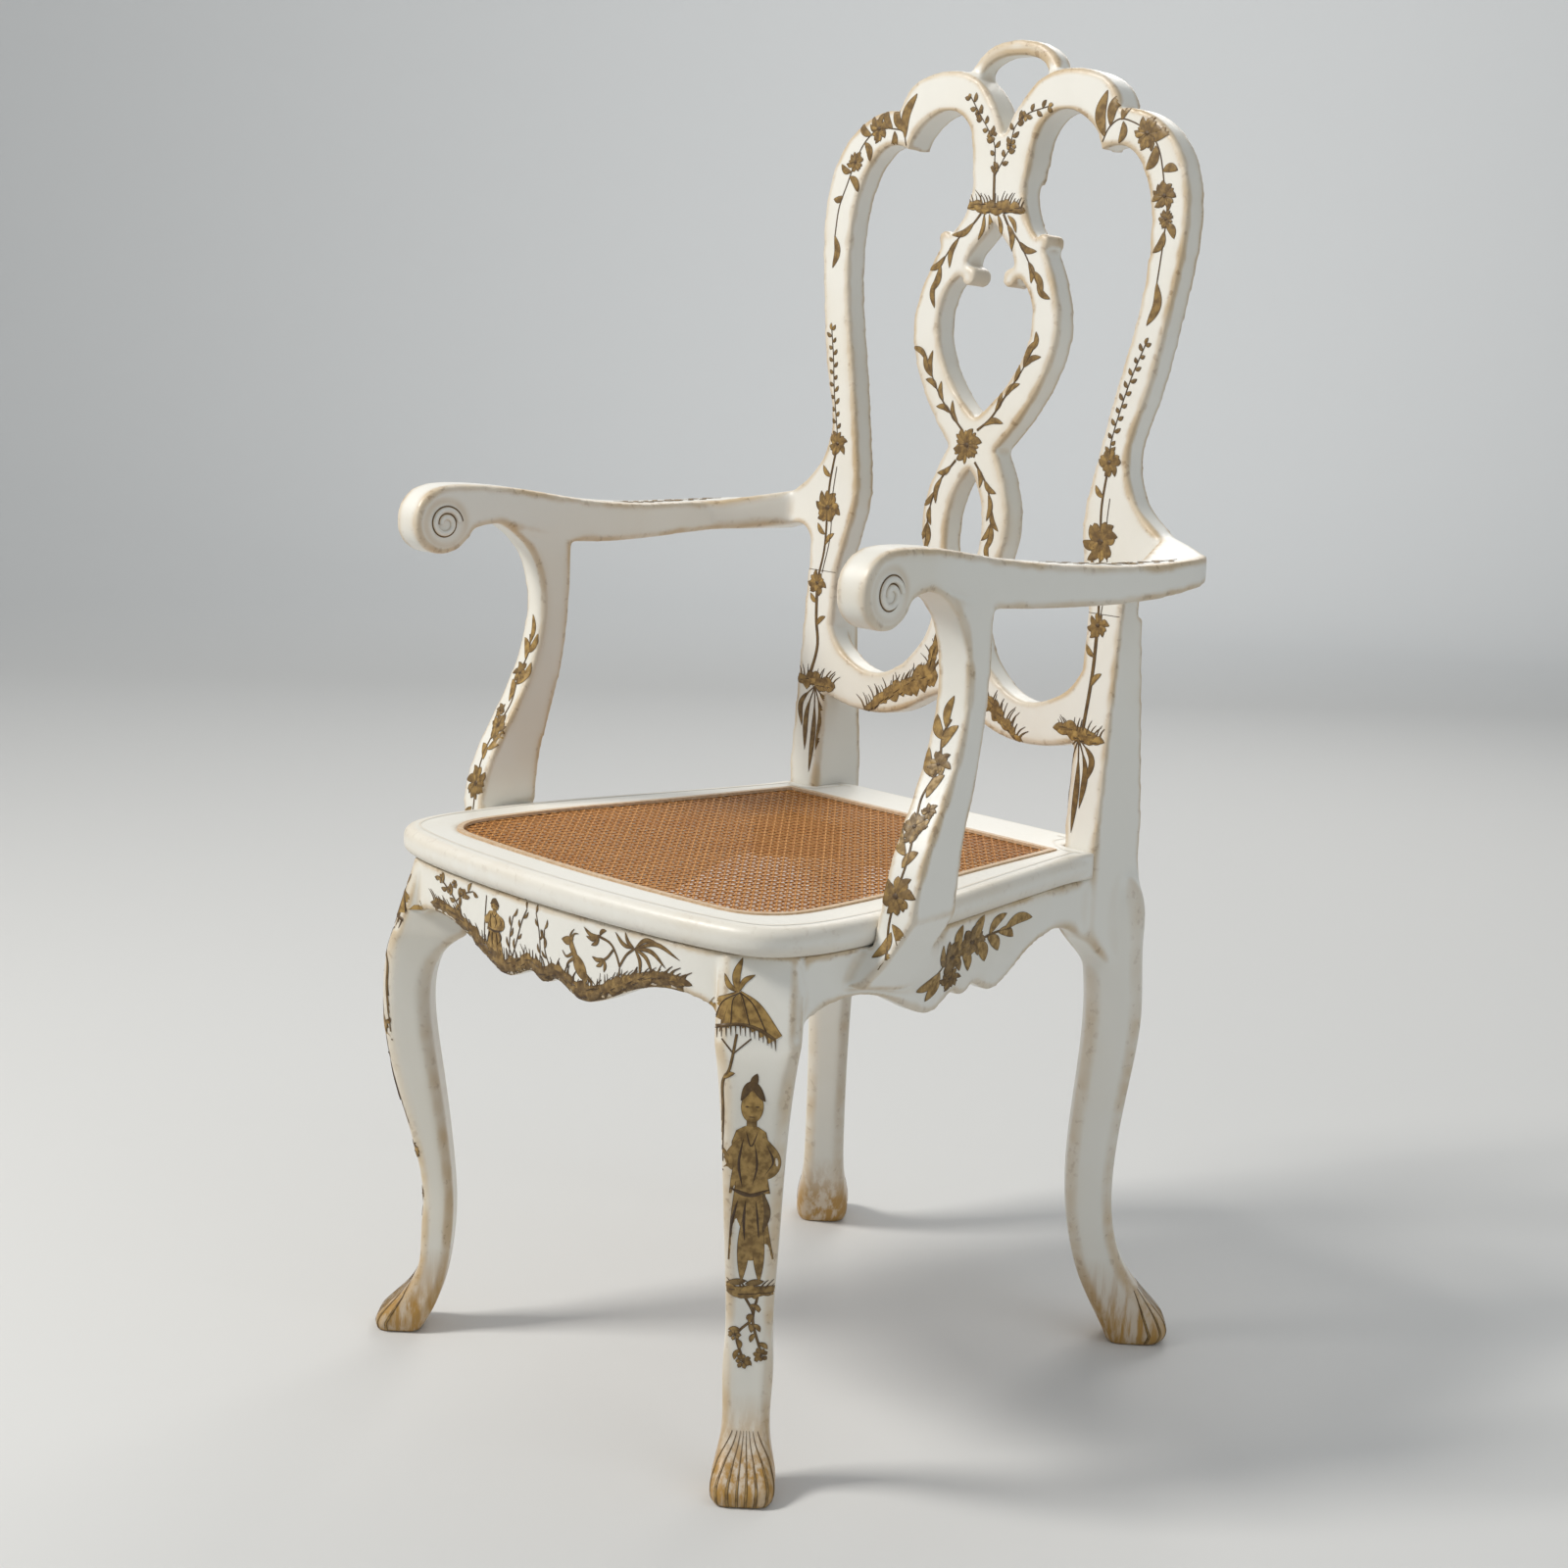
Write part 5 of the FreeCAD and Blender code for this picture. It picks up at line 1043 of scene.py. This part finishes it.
def frameEdge(inset):
    line = []
    for angle in range(*quirk["angles"]):
        turn = math.radians(angle)
        out = Vector((math.cos(turn), -math.sin(turn), 0))
        start = Vector(quirk["middle"]) + out * quirk["outside"]
        place, normal, _, _ = frameSkin.ray_cast(start, -out, quirk["reach"])
        if place is not None:
            spot = place - Vector((normal.x, normal.y, 0)).normalized() * inset / 1000
            line.append((spot.x * 1000, spot.y * 1000))
    return line


# the quirk's line: glaze in the uncut groove together with painted shade of the groove
pen = Pen(topFace, frameSkin)
pen.stroke(frameEdge(quirk["inset"]), quirk["width"], "line", 1, quirk["crown"], quirk["rim"])
pen.finish("frameQuirkShade", paint, lambda rims: hollowOnly(rims * quirk["tone"]))
print("ornament done")


# woven cane: paired strands both ways and a strand along each diagonal, each strand's edges darkened as
# painted shade and the higher strands paled as painted light
caneLook = {"pitch": 0.0093, "pair": 0.0025, "strand": 0.0019, "diagonal": 0.0019, "step": 0.0024,
            "crown": 0.00042, "layer": 0.00032, "over": 2, "under": 1.2, "shortest": 0.012, "seed": 7,
            "wander": 0.4, "tone": 0.1, "toneStray": 0.15, "heightLight": 0.25,
            "pale": (0.74, 0.375, 0.125), "deep": (0.39, 0.15, 0.036), "dark": (0.10, 0.034, 0.009),
            "shine": 0.22, "streak": (900, 3, 0.6), "cloud": (14, 3, 0.5), "shares": (0.55, 0.5),
            "paled": (0.25, 0.85), "stained": (0.5, 0.75, 0.0, 0.4), "edge": (0.35, 1.0, 0.0, 0.75),
            "gloss": (0.2, 0.8, 0.52, 0.72), "bump": (0.25, 0.0003)}


def caneMaterial():
    material, tree, shader = newMaterial("honeyCane")
    streak = noise(tree, *caneLook["streak"])
    both = zip((surfaceValue(tree, "strandToneAndLight"), streak), caneLook["shares"])
    share = math2(tree, "ADD", *(math2(tree, "MULTIPLY", value, part) for value, part in both))
    strand = mixColour(tree, spread(tree, share, *caneLook["paled"]), caneLook["deep"], caneLook["pale"])
    stain = spread(tree, noise(tree, *caneLook["cloud"]), *caneLook["stained"])
    stained = mixColour(tree, stain, strand, caneLook["deep"])
    # each strand darkens towards its edges: painted shade where the strands curve away and meet
    edge = spread(tree, surfaceValue(tree, "strandEdgeShade"), *caneLook["edge"])
    feed(tree, shader, {"Base Color": mixColour(tree, edge, stained, caneLook["dark"]),
                        "Roughness": spread(tree, streak, *caneLook["gloss"]),
                        "Specular IOR Level": caneLook["shine"],
                        "Normal": bump(tree, streak, *caneLook["bump"])})
    return material


def topOutline(name):
    # the upper face's outer rim, as segments in plan
    points, faces = nodePoints(name)
    top = points[:, 2].max() - 1e-5
    seen = {}
    for face in faces:
        if all(points[i, 2] > top for i in face):
            for a, b in zip(face, face[1:] + face[:1]):
                key = frozenset((tuple(np.round(points[a, :2], 6)), tuple(np.round(points[b, :2], 6))))
                seen[key] = seen.get(key, 0) + 1
    return np.array([[list(p) for p in key] for key, n in seen.items() if n == 1 and len(key) == 2])


def spanInside(rim, start, way):
    # where a line enters and leaves the rim, as distances along it
    side = np.array((-way[1], way[0]))
    a = (rim[:, 0] - start) @ side
    b = (rim[:, 1] - start) @ side
    crossed = a * b < 0
    share = a[crossed] / (a[crossed] - b[crossed])
    hits = ((rim[crossed, 0] + (rim[crossed, 1] - rim[crossed, 0]) * share[:, None]) - start) @ way
    return (hits.min(), hits.max()) if len(hits) > 1 else None


def weaveCane():
    rng = random.Random(caneLook["seed"])
    rim = topOutline("cane_panel")
    low, high = rim.reshape(-1, 2).min(0), rim.reshape(-1, 2).max(0)
    middle = (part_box("cane_panel")[0].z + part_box("cane_panel")[1].z) / 2
    pitch, pair, layer = caneLook["pitch"], caneLook["pair"], caneLook["layer"]
    stray, wander = caneLook["toneStray"], caneLook["wander"]
    points, faces, tones, rims = [], [], [], []

    def layStrand(start, way, width, lift):
        span = spanInside(rim, start, way)
        if span is None or span[1] - span[0] < caneLook["shortest"]:
            return
        count = int((span[1] - span[0]) / caneLook["step"]) + 2
        side = np.array((-way[1], way[0])) * width / 2
        tone = caneLook["tone"] + rng.uniform(-stray, stray)
        base = len(points)
        start = start + side * rng.uniform(-wander, wander)
        for k in range(count):
            along = span[0] + (span[1] - span[0]) * k / (count - 1)
            x, y = start + way * along
            z = middle + lift(x, y)
            for j, rise in ((-1, 0.0), (0, caneLook["crown"]), (1, 0.0)):
                points.append((x + side[0] * j, y + side[1] * j, z + rise))
                # the strand's own random tone, paler the higher it lies: painted light on the upper
                # strands, painted shade on the lower
                tones.append(min(1.0, max(0.0, tone + caneLook["heightLight"] * (z - middle) / layer)))
                rims.append(float(abs(j)))
            if k:
                for j in (0, 1):
                    a = base + (k - 1) * 3 + j
                    faces.append((a, a + 1, a + 4, a + 3))

    turnOf = 2 * math.pi / pitch
    right, back = np.array((1.0, 0.0)), np.array((0.0, 1.0))
    for i in range(int((high[0] - low[0]) / pitch) + 2):
        x = low[0] + i * pitch
        layStrand(np.array((x - pair / 2, 0.0)), back, caneLook["strand"], lambda x, y: -layer)
        layStrand(np.array((x + pair / 2, 0.0)), back, caneLook["strand"],
                  lambda x, y: layer * math.cos(turnOf * (y - low[1] + pair / 2)))
    for i in range(int((high[1] - low[1]) / pitch) + 2):
        y = low[1] + i * pitch
        layStrand(np.array((0.0, y - pair / 2)), right, caneLook["strand"], lambda x, y: 0.0)
        layStrand(np.array((0.0, y + pair / 2)), right, caneLook["strand"],
                  lambda x, y: layer * math.cos(turnOf * (x - low[0] - pair / 2)))
    reach = int((high[0] - low[0] + high[1] - low[1]) / pitch) + 2
    for i in range(-reach, reach):
        corner = np.array((low[0] + i * pitch, low[1]))
        layStrand(corner, np.array((diagonal, diagonal)), caneLook["diagonal"],
                  lambda x, y: layer * (caneLook["over"] + math.cos(turnOf * (x - low[0]))))
        layStrand(corner, np.array((-diagonal, diagonal)), caneLook["diagonal"],
                  lambda x, y: layer * (caneLook["under"] - math.cos(turnOf * (x - low[0]))))
    values = {"strandToneAndLight": tones, "strandEdgeShade": rims}
    weave = newPiece("cane_panel.woven", points, faces, honeyCane, values)
    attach(weave, "root")
    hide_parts("cane_panel")
    print("cane woven:", len(faces), "faces")


honeyCane = caneMaterial()
weaveCane()


# plain finishes: the bead round the cane, and what shows only from below
finishes = {
    "beadTan": {"grain": (240, 4, 0.6), "from": (0.3, 0.7), "rough": (0.2, 0.8, 0.4, 0.55), "metal": 0,
                "tones": ((0.56, 0.38, 0.22), (0.68, 0.52, 0.36))},
    "rawBeech": {"grain": (60, 5, 0.6, (1, 6, 6), 0.6), "from": (0.3, 0.7),
                 "rough": (0.2, 0.8, 0.55, 0.75), "metal": 0,
                 "tones": ((0.36, 0.22, 0.11), (0.56, 0.39, 0.22)), "bump": (0.2, 0.0006)},
    "dullSteel": {"grain": (300, 5, 0.6), "from": (0.5, 0.7), "rough": (0.3, 0.7, 0.35, 0.7),
                  "metal": 0.9, "tones": ((0.42, 0.40, 0.37), (0.22, 0.13, 0.08))}}


def plainFinish(name):
    look = finishes[name]
    material, tree, shader = newMaterial(name)
    grain = noise(tree, *look["grain"])
    given = {"Base Color": mixColour(tree, spread(tree, grain, *look["from"]), *look["tones"]),
             "Roughness": spread(tree, grain, *look["rough"]), "Metallic": look["metal"]}
    if "bump" in look:
        given["Normal"] = bump(tree, grain, *look["bump"])
    feed(tree, shader, given)
    return material


bead, beech, steel = (plainFinish(name) for name in finishes)
for name, piece in nodes.items():
    if name in bodyNames or name in frameNames or name == "cane_panel":
        continue
    piece.data.materials.clear()
    finish = steel if name.endswith("screws") else bead if name == "cane_spline" else beech
    piece.data.materials.append(finish)


# floor and light: a pale round floor that turns up into its own backdrop
studio = {"floor": (0.66, 0.66, 0.65), "flat": 5.0, "bend": 3.0, "wall": 3.0, "sky": (0.90, 0.95, 1.0),
          "skyLevel": 0.42, "rough": 0.8, "arc": 12, "sides": 96}

# each lamp's place, aim, size, power and colour
lamps = {"key": ((-1.5, -2.4, 3.2), (0, 0, 0.5), 0.9, 120, (1.0, 0.97, 0.92)),
         "fill": ((3.2, 0.4, 2.2), (0, 0, 0.5), 2.5, 18, (0.90, 0.95, 1.0)),
         "rim": ((-1.6, 2.8, 2.6), (0, 0, 0.7), 1.8, 36, (1.0, 0.97, 0.93)),
         "wash": ((-2.6, 3.4, 3.0), (-5.8, 6.2, 2.2), 2.4, 70, (0.96, 0.98, 1.0))}


def addFloor():
    profile = [(0.0, 0.0), (studio["flat"] * 0.5, 0.0)]
    for k in range(studio["arc"] + 1):
        turn = math.pi / 2 * k / studio["arc"]
        out, up = math.sin(turn), 1 - math.cos(turn)
        profile.append((studio["flat"] + studio["bend"] * out, studio["bend"] * up))
    profile.append((profile[-1][0], studio["bend"] + studio["wall"]))
    count = studio["sides"]
    turns = [2 * math.pi * k / count for k in range(count)]
    points = [(r * math.cos(turn), r * math.sin(turn), z) for r, z in profile[1:] for turn in turns]
    faces = [tuple(range(count))]
    for ring in range(len(profile) - 2):
        for k in range(count):
            a, b = ring * count + k, ring * count + (k + 1) % count
            faces.append((a, a + count, b + count, b))
    material, tree, shader = newMaterial("paleFloor")
    feed(tree, shader, {"Base Color": studio["floor"], "Roughness": studio["rough"]})
    floor = newPiece("floor", points, faces, material, {})


def addStudio():
    addFloor()
    world = bpy.data.worlds.new("studio")
    scene.world = world
    world.use_nodes = True
    sky = world.node_tree.nodes["Background"]
    feed(world.node_tree, sky, {0: studio["sky"], 1: studio["skyLevel"]})
    for name, (place, aim, size, power, colour) in lamps.items():
        lamp = bpy.data.lights.new(name, "AREA")
        lamp.energy = power
        lamp.size = size
        lamp.color = colour
        light = bpy.data.objects.new(name, lamp)
        scene.collection.objects.link(light)
        light.location = place
        light.rotation_euler = (Vector(aim) - Vector(place)).to_track_quat("-Z", "Y").to_euler()


addStudio()
scene.view_settings.view_transform = "Standard"
